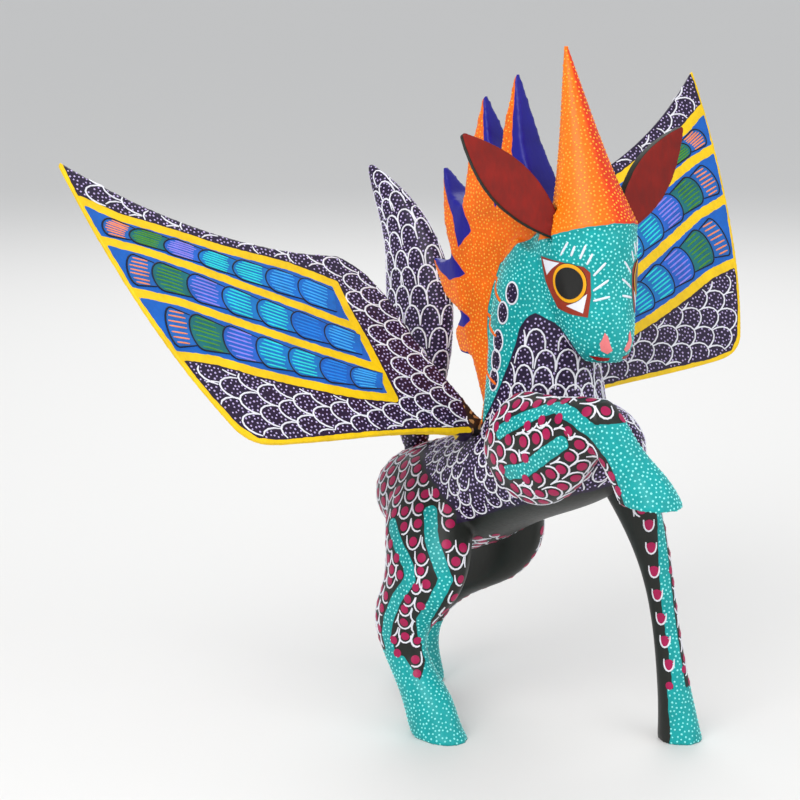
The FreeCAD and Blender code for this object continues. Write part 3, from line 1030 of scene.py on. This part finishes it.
# Each leg's middle line, the widths of its scales from top to bottom, where they may lie, and
# the seeds of its rows and of the scales that fill gaps between them.
LEG_ROWS = (
    (RIGHT_HIND_LINE, (5.0, 4.2), right_hind_keep, 13, 24),
    (LEFT_HIND_LINE, (5.0, 4.2), left_hind_keep, 14, 25),
    (LEFT_FORE_LINE, (4.4, 3.8), fore_keep, 15, None),
)
SIDEWAYS = (0, 1, 0)


def body_lines():
    """All chalk scallops on the body, and the hearts of the leg scales for their spots."""
    ends = [tuple(TORSO_MIDDLE + TORSO_ALONG * reach) for reach in (-44, -15, 15, 46)]
    lines = flank_scales(Sleeve(body_skin, ends, TORSO_ABOVE), torso_keep, 11)
    neck = Sleeve(body_skin, NECK_LINE, SIDEWAYS)
    lines += limb_scales(neck, (5.4, 5.8), neck_keep, 12, rise=0.95, onward=-1)[0]
    hearts = []
    for route, widths, keep, seed, gap_seed in LEG_ROWS:
        rows, leg_hearts = limb_scales(Sleeve(body_skin, route, SIDEWAYS), widths, keep, seed)
        lines += rows
        if gap_seed:
            fillers, more_hearts = gap_scales(body_skin, leg_hearts, keep, gap_seed, 4.0, 3.4)
            lines += fillers
            hearts += more_hearts
        hearts += leg_hearts
    for centre in FORE_SPOTS:
        heart = body_skin.near(centre)
        lines.append(scallop(body_skin, heart, -UP, 3.0, 3.2))
        hearts.append((*heart, 1.5))
    return lines, hearts


def twin_point(point):
    """The same place on the other side of the head."""
    rel = Vector(point) - NAPE
    ahead = rel.dot(FACE)
    return NAPE + FACE * ahead - CHEEK * rel.dot(CHEEK) + UP * rel.z


def both_sides(shape, side):
    """The points as given for the figure's right, or their twins on the left of the head."""
    return shape if side < 0 else tuple(twin_point(point) for point in shape)


def draped_line(skin, points, steps=6):
    """A painted line between points, on the skin."""
    line = []
    for start, end in zip(points, points[1:]):
        for step in range(steps):
            place, normal = skin.near(Vector(start).lerp(Vector(end), step / steps))
            line.append((place, normal))
    line.append(skin.near(points[-1]))
    return line


# Loose dark scales on the band behind the jaw, half their width and height, and thin flicks of
# the mane across the band.
LOOSE_HALVES = (2.3, 2.9)
LOOSE_SCALES = (
    (12.2, -12.1, 122.5), (8.8, -12, 116.9), (7.1, -12, 109.2), (6.5, -12.1, 103.9),
    (6.1, -12.4, 98.7),
)
MANE_FLICKS = (
    ((-2.3, -5.5, 126), (2.5, -9, 122.2), (7.6, -11.5, 119.6)),
    ((-3.8, -5.5, 114.5), (1, -9, 111.8), (6.2, -11.9, 110.3)),
    ((-3.6, -5.5, 102.4), (2, -10, 99.2), (7.5, -13, 97.7)),
)


def oval_outline(centre, normal, half_wide, half_tall, segments=16):
    """Upright oval round a centre, square to the normal."""
    across = UP.cross(Vector(normal)).normalized()
    upward = Vector(normal).cross(across)
    ring = []
    for step in range(segments):
        turn = 2 * math.pi * step / segments
        out = across * math.cos(turn) * half_wide + upward * math.sin(turn) * half_tall
        ring.append(Vector(centre) + out)
    return ring


def loose_scales():
    """Dark ovals with chalk edges on both sides of the neck, and the mane's thin flicks."""
    ovals = []
    edges = []
    flicks = []
    for side in (-1, 1):
        for centre in both_sides(LOOSE_SCALES, side):
            place, normal = body_skin.near(centre)
            ring = oval_outline(place, normal, *LOOSE_HALVES)
            ovals.append(ring)
            edges.append([body_skin.near(point) for point in ring + ring[:1]])
        for flick in MANE_FLICKS:
            flicks.append(draped_line(body_skin, both_sides(flick, side)))
    new_piece("loose_scales", draped_patch(body_skin, ovals, COAT, cuts=2), "figure", night_plain)
    new_piece("loose_scale_edges", line_mesh(edges, 0.29, 0.02, "edges"), "figure", chalk_line)
    new_piece("mane_flicks", line_mesh(flicks, 0.5, 0.1, "flicks"), "figure", flick_paint)
    return edges, flicks


def loose_gap(places):
    """Distance from the middle of the nearest loose scale."""
    middles = both_sides(LOOSE_SCALES, -1) + both_sides(LOOSE_SCALES, 1)
    return np.min([np.linalg.norm(places - np.array(middle), axis=1) for middle in middles], axis=0)


# Radius of a chalk line, how deep it is sunk, and the smallest and largest spots.
CHALK_RADIUS = 0.30
CHALK_SINK = 0.09
SPOT_RANGE = (1.1, 1.55)
# Thickness of a flat coat of paint.
COAT = 0.08


def add_scales(name, skin, lines, hearts, body):
    """Chalk scallops on a skin, and a crimson spot in the heart of each that has one."""
    new_piece(name, line_mesh(lines, CHALK_RADIUS, CHALK_SINK, name), body, chalk_line)
    if hearts:
        least, most = SPOT_RANGE
        spots = [(place, normal, min(max(size, least), most)) for place, normal, size in hearts]
        new_piece(name + "_spots", spots_mesh(skin, spots, COAT), body, crimson_spot)


# Radius of a paint drop, how far apart drops stand, and how far they keep from a line. The body
# is tried at so many places that the drops stand as close as the gap lets them.
DOT_GIRTH = 0.32
DOT_GAP = 0.98
LINE_GAP = 0.58
BODY_TRIES = 230000


def add_dots(name, skin, wanted, lines, seed, paint, body, samples):
    """Rows of small paint drops all over a zone, kept off its lines."""
    places, normals = skin.sample(samples, seed)
    choose = wanted(places, normals)
    places, normals = places[choose], normals[choose]
    if lines:
        free = clear_of(line_tree(lines), places, LINE_GAP)
        places, normals = places[free], normals[free]
    places, normals = spaced(places, normals, DOT_GAP)
    new_piece(name, dots_mesh(places, normals, DOT_GIRTH, seed), body, dot_paint[paint])


EYE_OUTLINE = (
    (21.9, -11.2, 133.2), (29, -10.9, 132.6), (35.4, -9.7, 131.7), (36.7, -8.7, 130.3),
    (37.2, -8.9, 124.5), (36.8, -9.4, 118.9), (32, -10.2, 119.4), (27.4, -10.6, 120.4),
    (23.7, -11.3, 127),
)
EYE_MIDDLE = (31.7, -11.3, 127.3)


def eye_depth(places):
    """Distance clear of the almonds of both eyes, seen from the side of the head."""
    rel = places - np.array(NAPE)
    ahead = rel @ np.array(FACE)
    corners = []
    for point in EYE_OUTLINE:
        corners.append(((Vector(point) - NAPE).dot(FACE), point[2]))
    away = -outline_depth(corners, ahead, places[:, 2])
    return np.where(np.abs(rel @ np.array(CHEEK)) < 5, 9, away)


def night_dots(places, normals):
    return night_depth(places, normals) > 0.8


def teal_dots(places, normals):
    zones = body_fields(places, normals)
    clear = np.min([eye_depth(places), loose_gap(places) - 3.0, places[:, 2]], axis=0)
    teal = np.min([zones["teal"], -zones["orange"], -zones["horn"], clear], axis=0)
    return teal > 0.35


def loose_dots(places, normals):
    return loose_gap(places) < 2.2


def orange_dots(places, normals):
    zones = body_fields(places, normals)
    return np.minimum(np.maximum(zones["orange"], zones["horn"]), -zones["blue"]) > 0.6


def arm_teal(places, normals):
    return arm_fields(places, normals)["teal"] > 0.35


figure_lines, figure_hearts = body_lines()
add_scales("body_scales", body_skin, figure_lines, figure_hearts, "figure")
arm_lines, arm_hearts = limb_scales(Sleeve(arm_skin, ARM_LINE, SIDEWAYS), (5.2, 4.6), arm_keep, 21)
knee_lines, knee_hearts = gap_scales(arm_skin, arm_hearts, arm_keep, 23)
arm_hearts += knee_hearts
add_scales("foreleg_scales", arm_skin, arm_lines + knee_lines, arm_hearts, "figure")
tail_sleeve = Sleeve(tail_skin, TAIL_LINE, SIDEWAYS)
tail_lines, _ = limb_scales(tail_sleeve, (6.6, 5.0), everywhere, 22, rise=0.95)
add_scales("tail_scales", tail_skin, tail_lines, [], "tail")

add_dots("night_dots", body_skin, night_dots, figure_lines, 31, "night", "figure", BODY_TRIES)
loose_edges, loose_flicks = loose_scales()
jaw_lines = loose_edges + loose_flicks
add_dots("teal_dots", body_skin, teal_dots, jaw_lines, 32, "teal", "figure", BODY_TRIES)
add_dots("loose_dots", body_skin, loose_dots, loose_edges, 36, "night", "figure", BODY_TRIES)
add_dots("orange_dots", body_skin, orange_dots, None, 33, "orange", "figure", BODY_TRIES)
add_dots("tail_dots", tail_skin, everywhere, tail_lines, 34, "night", "tail", 40000)
add_dots("foreleg_dots", arm_skin, arm_teal, None, 35, "teal", "figure", 50000)


# ------------------------------------------------------------------ the face

NOSTRIL = (
    (40.6, -7.2, 115.3), (41.2, -6.6, 114.3), (41.0, -6.5, 112.9), (41.6, -6.0, 111.9),
    (41.8, -5.4, 110.6), (40.8, -6.3, 109.7), (39.8, -7.6, 110.6), (39.7, -8.0, 112.5),
    (40.2, -7.6, 113.6),
)
MOUTH = (
    (36.4, -8.3, 109.2), (38.5, -7.6, 109.0), (40.6, -5.2, 108.8), (40.4, -5.4, 107.8),
    (38.4, -7.2, 107.6),
)
EYE_CORNERS = (
    ((22.9, -11.2, 132.6), (29.0, -10.9, 132.3), (26.6, -11.1, 130.6), (24.6, -11.2, 128.7)),
    ((36.3, -9.3, 124.9), (35.6, -9.9, 119.9), (30.8, -10.9, 121.4), (33.8, -10.7, 122.6)),
)
LASHES = (
    ((29.4, -11.9, 134.3), (31.4, -11.5, 137.8)),
    ((32.3, -11.2, 134.3), (33.2, -10.8, 136.9)),
    ((34.5, -10.3, 133.7), (35.7, -9.4, 137.3)),
    ((36.0, -9.3, 132.3), (37.1, -8.4, 135.1)),
    ((37.4, -8.3, 129.5), (39.3, -5.8, 132.8)),
    ((37.6, -8.5, 125.7), (39.7, -5.1, 128.4)),
    ((37.8, -8.7, 123.2), (40.2, -5.1, 124.2)),
)


def eye(side, paints):
    """Rust almond with white corners, a gold ring, and a dark pupil standing proud."""
    tag = "right" if side < 0 else "left"
    outline = both_sides(EYE_OUTLINE, side)
    middle, out = body_skin.near(both_sides((EYE_MIDDLE,), side)[0])
    almond = draped_patch(body_skin, [outline], 0.10)
    new_piece(f"{tag}_eye_almond", almond, "figure", paints["rust"])
    corners = draped_patch(body_skin, [both_sides(corner, side) for corner in EYE_CORNERS], 0.18)
    new_piece(f"{tag}_eye_corners", corners, "figure", paints["white"])
    rings = ((5.15, 0.22, "rim", "ink"), (5.0, 0.28, "gold_ring", "gold"), (4.1, 0.36, "pupil", "ink"))
    for radius, lift, part, paint in rings:
        disc = draped_patch(body_skin, [disc_outline(middle, out, radius, 32)], lift, cuts=2)
        new_piece(f"{tag}_eye_{part}", disc, "figure", paints[paint])
    lashes = [draped_line(body_skin, both_sides(lash, side)) for lash in LASHES]
    new_piece(f"{tag}_lashes", line_mesh(lashes, 0.36, 0.12, "lashes"), "figure", paints["chalk"])
    nostril = draped_patch(body_skin, [both_sides(NOSTRIL, side)], 0.14)
    new_piece(f"{tag}_nostril", nostril, "figure", paints["pink"])
    mouth = draped_patch(body_skin, [both_sides(MOUTH, side)], 0.14)
    new_piece(f"{tag}_mouth", mouth, "figure", paints["red"])


def faces():
    paints = {
        "white": plain_paint("eye_white", CHALK, 0.2, 0.3),
        "rust": plain_paint("eye_rust", EYE_RUST, 0.4, 0.35),
        "gold": plain_paint("eye_gold", EYE_GOLD, 0.3, 0.3),
        "ink": plain_paint("pupil_ink", colour(18, 17, 15), 0.6, 0.24, 0.1, 0.25),
        "chalk": chalk_line,
        "pink": plain_paint("nostril_pink", PINK, 0.3, 0.35),
        "red": plain_paint("mouth_red", MOUTH_RED, 0.3, 0.35),
    }
    for side in (-1, 1):
        eye(side, paints)


faces()


# ------------------------------------------------------------------ wings


def axes_frame(origin, across, upward):
    """Matrix from a flat piece's own across and up to the layout."""
    across = Vector(across).normalized()
    upward = (Vector(upward) - across * Vector(upward).dot(across)).normalized()
    turn = Matrix((across, upward, across.cross(upward))).transposed().to_4x4()
    return Matrix.Translation(Vector(origin)) @ turn


# Lean of the wings' faces back from upright.
TILT = math.radians(47)


def wing_frame(side):
    """The wing's own axes: out along its span, up its face, and out of its flat."""
    across = (0.055, side, 0)
    upward = (-math.sin(TILT) * 0.93, side * 0.037, math.cos(TILT) * 1.07)
    if side < 0:
        return axes_frame((-1.5, -10, 84), across, upward)
    laid = axes_frame((0, 0, 0), across, upward)
    swing = Matrix.Rotation(math.radians(18.2), 4, Vector((0.11, 0.826, -0.553)))
    return Matrix.Translation((-6.1, 10, 85.5)) @ swing @ laid


# Lines on the wing's face, out along the span and up, in millimetres.
TOP_BAND = ((22.0, 50.2), (33.9, 57.7), (52.2, 65.7), (64, 72.1), (78.8, 79.4), (87.3, 85.9))
INNER_BAND = ((22.0, 50.2), (23.1, 41.2), (23.3, 31.3), (24.2, 20), (24.9, 13.1))
FIRST_RIB = ((24.4, 36.4), (37.2, 44.6), (49.9, 52.3), (64, 61.1), (78.2, 69), (87.7, 73.1))
SECOND_RIB = ((25.6, 23.5), (44.1, 33.7), (56.8, 41.1), (66.2, 46.7), (75.5, 52.2), (87.4, 57))
BOTTOM_BAND = ((24.9, 13.1), (36.5, 16.4), (51.2, 22.5), (64.5, 28.6), (74, 33.6), (84.5, 36.8))
TRAILING_EDGE = (
    (87.4, 99.1), (88.1, 92), (88.2, 80.1), (87.8, 66.5), (87, 53.9), (85.4, 42.8), (83.8, 31.9),
    (81.4, 22.4), (78.5, 13.7), (74.8, 9.1), (67.7, 7.2), (55, 5.9), (38.5, 4.2), (21.7, 1.9),
    (6.2, -0.6),
)
PANEL_TIP = ((88.2, 80), (87.8, 66), (87, 54), (85.4, 43))
WING_PANEL = TOP_BAND[1:] + PANEL_TIP + BOTTOM_BAND[::-1] + INNER_BAND[::-1]


def arc_points(points, steps=4):
    """Smooth run through a few points."""
    run = []
    for number in range(len(points) - 1):
        before = points[max(number - 1, 0)]
        start, end = points[number], points[number + 1]
        after = points[min(number + 2, len(points) - 1)]
        for step in range(steps):
            t = step / steps
            spot = []
            for a, b, c, d in zip(before, start, end, after):
                square = (2 * a - 5 * b + 4 * c - d) * t**2
                cube = (3 * b - a - 3 * c + d) * t**3
                spot.append(0.5 * (2 * b + (c - a) * t + square + cube))
            run.append(tuple(spot))
    return run


def board_outline():
    """The wing board's edge, over the top and back along the trailing and lower edges."""
    top = ((0, 1.8), (2.6, 14.1), (5.8, 29.9), (6.3, 42.2), (9.2, 51.5), (15.8, 59))
    outer = ((15.8, 59), (41.4, 66), (66.9, 80.1), (87.6, 98.6))
    trailing = ((87.6, 98.6), (88, 79.2), (86.7, 52.8), (83.6, 31.7), (78.8, 13.6))
    bottom = ((78.8, 13.6), (74.8, 9.2), (66.9, 7), (38.7, 4), (6.2, -2.6))
    return [point for run in (top, outer, trailing, bottom) for point in arc_points(run)]


BOARD_OUTLINE = board_outline()
# Half the board's thickness, the share of it left at the shaved edge, and the shaving's width.
HALF_BOARD = 1.8
THIN_EDGE = 0.30
SHAVED = 4.0


class WingFace:
    """A wing board's own axes, to go between them and the layout.

    Its hidden side is shaved thin along the edges, and the side that shows stays flat."""

    def __init__(self, matrix, shown):
        self.matrix = matrix
        self.inverse = matrix.inverted()
        self.shown = shown

    def own(self, places):
        turn = np.array(self.inverse)
        return places @ turn[:3, :3].T + turn[:3, 3]

    def point(self, out, up, lift):
        return self.matrix @ Vector((out, up, lift))

    def thinned(self, out, up):
        """Share of the board's thickness that the shaving leaves."""
        depth = outline_depth(BOARD_OUTLINE, np.asarray(out), np.asarray(up))
        kept = np.clip(THIN_EDGE + (1 - THIN_EDGE) * depth / SHAVED, THIN_EDGE, 1)
        return np.where(np.asarray(out) < 9, 1.0, kept)

    def surface(self, out, up, flat, lift):
        """Place on the painted side, a little above the wood."""
        height = HALF_BOARD
        if flat != self.shown:
            height = 2 * HALF_BOARD * float(self.thinned([out], [up])[0]) - HALF_BOARD
        return self.point(out, up, flat * (height + lift))

    def facing(self, flat):
        return (self.matrix.to_3x3() @ Vector((0, 0, flat))).normalized()


def flat_gap(route, out, up):
    """Distance on the board's flat to a line drawn on it."""
    places = np.column_stack((out, up, np.zeros(len(out))))
    return route_gap([(x, y, 0) for x, y in route], places)


# Half the width of the yellow bands, and of the yellow line along the rim.
HALF_BAND = 1.35
HALF_RIM = 0.9


def wing_fields(own):
    """Signed depth into each painted zone of a wing board, by its own axes."""
    out, up, _ = columns(own)
    bands = [flat_gap(route, out, up) for route in (TOP_BAND, INNER_BAND, FIRST_RIB, SECOND_RIB, BOTTOM_BAND)]
    panel = outline_depth(WING_PANEL, out, up)
    edge = flat_gap(TRAILING_EDGE, out, up)
    patches = np.sin(out * 1.9 + 2.0 * np.sin(up * 1.3)) + 0.6 * np.sin(up * 2.6 + out)
    return {
        "night": out - 4.0 + 0.3 * (up - 3),
        "blue": panel,
        "yellow": np.maximum(HALF_BAND - np.min(bands, axis=0), HALF_RIM - edge),
        "worn": np.minimum(patches - 0.55, 7.5 - np.hypot(out, up - 1)),
    }


WING_ROWS = ((TOP_BAND, FIRST_RIB), (FIRST_RIB, SECOND_RIB), (SECOND_RIB, BOTTOM_BAND))
FEATHER_TINTS = {
    "salmon": (colour(240, 140, 92), colour(20, 96, 176)),
    "olive": (colour(70, 140, 40), colour(8, 104, 110)),
    "lavender": (colour(140, 130, 226), colour(24, 92, 190)),
    "aqua": (colour(40, 214, 214), colour(0, 112, 186)),
    "sky": (colour(60, 170, 236), colour(0, 104, 194)),
    "azure": (colour(26, 132, 222), colour(0, 96, 190)),
}
FEATHER_ORDER = (
    ("salmon", "olive", "lavender", "aqua", "aqua", "sky", "sky"),
    ("salmon", "olive", "lavender", "aqua", "aqua", "azure", "sky"),
    ("salmon", "olive", "lavender", "aqua", "aqua", "azure", "sky"),
)


def row_point(upper, lower, out, share):
    """Place in a feather row: out along it, and a share of the way up across it."""
    low = float(np.interp(out, [x for x, _ in lower], [y for _, y in lower])) + 1.5
    high = float(np.interp(out, [x for x, _ in upper], [y for _, y in upper])) - 1.5
    return low + (high - low) * share


def feather_outline(upper, lower, inner, outer):
    """A feather's open edge: in from its root corner, round its tip, and back."""
    shoulder = inner + 0.68 * (outer - inner)
    turns = [math.pi * step / 12 - math.pi / 2 for step in range(13)]
    ring = [(inner, 0.16)]
    ring += [(shoulder + (outer - shoulder) * math.cos(turn), 0.5 + 0.42 * math.sin(turn)) for turn in turns]
    ring.append((inner, 0.84))
    return [on_row(upper, lower, reach, share) for reach, share in ring]


def on_row(upper, lower, reach, share):
    """Out and up of a place in a row, leaning so that feathers end square to their row."""
    leant = reach + 4.5 * (0.5 - share)
    return leant, row_point(upper, lower, leant, share)


def feathers(face, flat):
    """Cells, stripes and ink outlines of the three feather rows on one side of a wing."""
    dice = random.Random(41)
    cells = {tint: [] for tint in FEATHER_TINTS}
    stripes = {tint: [] for tint in FEATHER_TINTS}
    ink = []
    normal = face.facing(flat)
    for (upper, lower), order in zip(WING_ROWS, FEATHER_ORDER):
        lower = sorted(lower)
        upper = sorted(upper)
        end = 84.8 if lower != sorted(BOTTOM_BAND) else 82.6
        length = (end - 26.5) / (len(order) - 0.25)
        outer = end
        for number, tint in enumerate(order):
            step = length * (0.75 if number == 0 else 1.0)
            inner = outer - 1.12 * step
            lift = 0.10 + 0.012 * number
            ring = feather_outline(upper, lower, inner, outer)
            cells[tint].append(([face.surface(x, y, flat, lift) for x, y in ring], normal))
            ink.append([(face.surface(x, y, flat, 0.05), normal) for x, y in ring])
            for stripe in range(7):
                share = 0.17 + 0.11 * stripe + dice.uniform(-0.012, 0.012)
                tip = outer - step * (0.08 + 1.5 * (share - 0.5) ** 2) - dice.uniform(0, 0.06) * step
                root = inner + step * (0.2 + dice.uniform(0, 0.1))
                line = []
                for part in range(5):
                    x, y = on_row(upper, lower, root + (tip - root) * part / 4, share)
                    line.append((face.surface(x, y, flat, lift), normal))
                stripes[tint].append(line)
            outer -= step
    return cells, ink, stripes


def flat_mesh(outlines):
    """Thin flat paint cells, each facing its own way."""
    work = bmesh.new()
    for ring, normal in outlines:
        corners = [work.verts.new(to_frame(point)) for point in ring]
        cell = work.faces.new(corners)
        cell.normal_update()
        if cell.normal.dot(normal) < 0:
            cell.normal_flip()
    bmesh.ops.triangulate(work, faces=work.faces)
    return mesh_from(work, "cells")


# The scallops' rows climb at this angle from the wing's span.
SCALE_TURN = math.radians(24)


def wing_scales(face, flat, seed, width=6.6, tall=5.4):
    """Scallops over the dark parts of the board, their round ends towards the tip."""
    dice = random.Random(seed)
    normal = face.facing(flat)
    ahead = (math.cos(SCALE_TURN), math.sin(SCALE_TURN))
    beside = (-ahead[1], ahead[0])
    lines = []
    for row in range(0, 30):
        for number in range(-9, 17):
            along = row * tall + dice.uniform(-0.4, 0.4)
            across = (number + 0.5 * (row % 2) + dice.uniform(-0.07, 0.07)) * width
            own = []
            for step in ARC_STEPS:
                reach = along + tall * math.sin(step)
                side = across + 0.5 * width * math.cos(step)
                own.append((reach * ahead[0] + side * beside[0], reach * ahead[1] + side * beside[1], 0))
            runs = [[]]
            for (out, up, _), depth in zip(own, dark_depth(np.array(own))):
                if depth > 0.15:
                    runs[-1].append((face.surface(out, up, flat, 0), normal))
                else:
                    runs.append([])
            lines += [run for run in runs if len(run) >= FEWEST_POINTS]
    return lines


def dark_depth(own):
    """Depth into the scaled parts of a wing board, by its own axes."""
    fields = wing_fields(own)
    inside = outline_depth(BOARD_OUTLINE, own[:, 0], own[:, 1])
    return np.min([inside, fields["night"], -fields["blue"], -fields["yellow"]], axis=0)


def painted_wing(name, side):
    face = WingFace(wing_frame(side), shown=side)
    mesh = carved_mesh(name, 0.6, 2)
    own = face.own(Skin(mesh).points)
    from_shown = HALF_BOARD - own[:, 2] * face.shown
    own[:, 2] = face.shown * (HALF_BOARD - from_shown * face.thinned(own[:, 0], own[:, 1]))
    for vertex, (out, up, flat) in zip(mesh.vertices, own):
        vertex.co = to_frame(face.point(out, up, flat))
    mesh.update()
    skin = Skin(mesh)
    for zone, depth in wing_fields(own).items():
        keep_field(mesh, zone, depth)
    piece = new_piece(f"carved_{name}", mesh, name, wing_paint)
    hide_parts(name)

    scale_lines = []
    ink = []
    cells = {tint: [] for tint in FEATHER_TINTS}
    stripes = {tint: [] for tint in FEATHER_TINTS}
    for flat in (-1, 1):
        side_cells, side_ink, side_stripes = feathers(face, flat)
        ink += side_ink
        for tint in FEATHER_TINTS:
            cells[tint] += side_cells[tint]
            stripes[tint] += side_stripes[tint]
        scale_lines += wing_scales(face, flat, 51 + flat)
    new_piece(f"{name}_ink", line_mesh(ink, 0.26, 0.0, "ink"), name, ink_line)
    for tint, (line_paint, cell_paint) in feather_paint.items():
        new_piece(f"{name}_{tint}_feathers", flat_mesh(cells[tint]), name, cell_paint)
        stripe = line_mesh(stripes[tint], 0.30, 0.10, "stripes")
        new_piece(f"{name}_{tint}_stripes", stripe, name, line_paint)
    new_piece(f"{name}_scales", line_mesh(scale_lines, 0.30, 0.10, "scales"), name, chalk_line)

    def wanted(places, normals):
        return dark_depth(face.own(places)) > 0.5

    add_dots(f"{name}_dots", skin, wanted, scale_lines, 61, "night", name, 60000)


wing_paint = zoned_paint(
    "wing_paint",
    BARK,
    (("worn", BARE_WOOD), ("night", NIGHT), ("blue", PANEL_BLUE), ("yellow", YELLOW)),
)
ink_line = plain_paint("ink_line", INK, 0.2, 0.4, 0.1, 0.0)
feather_paint = {}
for tint, (line_tint, cell_tint) in FEATHER_TINTS.items():
    stripe_paint = plain_paint(f"{tint}_stripe", line_tint, 0.4)
    feather_paint[tint] = (stripe_paint, plain_paint(f"{tint}_feather", cell_tint, 0.8))
painted_wing("right_wing", -1)
painted_wing("left_wing", 1)


# ------------------------------------------------------------------ ears and dowel


def ear_frame(side):
    """The ear's own axes: up from its root, across its width, and the way it faces."""
    lean, spread = (-12.5, -21) if side < 0 else (-8, 24)
    root = NAPE + FACE * 24 + CHEEK * (side * 9.2) + UP * 139
    axis = (FACE * lean + CHEEK * spread + UP * 25).normalized()
    facing = (FACE - axis * FACE.dot(axis)).normalized()
    return axes_frame(root, axis, facing.cross(axis))


def painted_ear(name, side):
    mesh = carved_mesh(name, 0.4, 3)
    forward = (ear_frame(side).to_3x3() @ UP).normalized()
    keep_field(mesh, "front", (Skin(mesh).normals @ np.array(forward) - 0.55) * 3)
    piece = new_piece(f"carved_{name}", mesh, name, ear_paint)
    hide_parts(name)


ear_paint = zoned_paint("ear_paint", EAR_BACK, (("front", RUST),), 0.9, 0.6)
painted_ear("right_ear", -1)
painted_ear("left_ear", 1)
nodes["foreleg_dowel"].data.materials.clear()
nodes["foreleg_dowel"].data.materials.append(plain_paint("dowel_wood", BARE_WOOD, 0.8, 0.6, 0.3, 0.0))

# ------------------------------------------------------------------ floor, light and camera


def studio():
    work = bmesh.new()
    bmesh.ops.create_grid(work, x_segments=1, y_segments=1, size=9)
    floor = placed("floor", mesh_from(work, "floor"))
    pale = new_material("pale_floor")
    shader = pale.node_tree.nodes["Principled BSDF"]
    shader.inputs["Base Color"].default_value = (0.78, 0.77, 0.75, 1)
    shader.inputs["Roughness"].default_value = 0.6
    floor.data.materials.append(pale)


def soft_light(name, place, aim, width, power):
    lamp = bpy.data.lights.new(name, "AREA")
    lamp.size = width
    lamp.energy = power
    light = placed(name, lamp)
    light.location = place
    light.rotation_euler = (Vector(aim) - Vector(place)).to_track_quat("-Z", "Y").to_euler()


def look():
    view = bpy.data.cameras.new("camera")
    view.lens = 99
    view.sensor_width = 36
    camera = placed("camera", view)
    camera.location = to_frame((412.2, -411.3, 214.1))
    camera.rotation_euler = Vector((-0.7269, 0.6545, -0.2079)).to_track_quat("-Z", "Y").to_euler()
    bpy.context.scene.camera = camera


studio()
soft_light("key", (0.25, -0.75, 0.75), (0, 0, 0.09), 0.7, 6.3)
soft_light("fill", (0.85, 0.15, 0.45), (0, 0, 0.09), 0.8, 2.2)
soft_light("rim", (-0.55, 0.5, 0.7), (0, 0, 0.1), 0.7, 3)
sky = bpy.data.worlds.new("sky")
sky.use_nodes = True
sky.node_tree.nodes["Background"].inputs["Color"].default_value = (0.92, 0.94, 0.97, 1)
sky.node_tree.nodes["Background"].inputs["Strength"].default_value = 0.72
bpy.context.scene.world = sky
bpy.context.scene.view_settings.view_transform = "Standard"
look()

bpy.data.objects.remove(DROP)
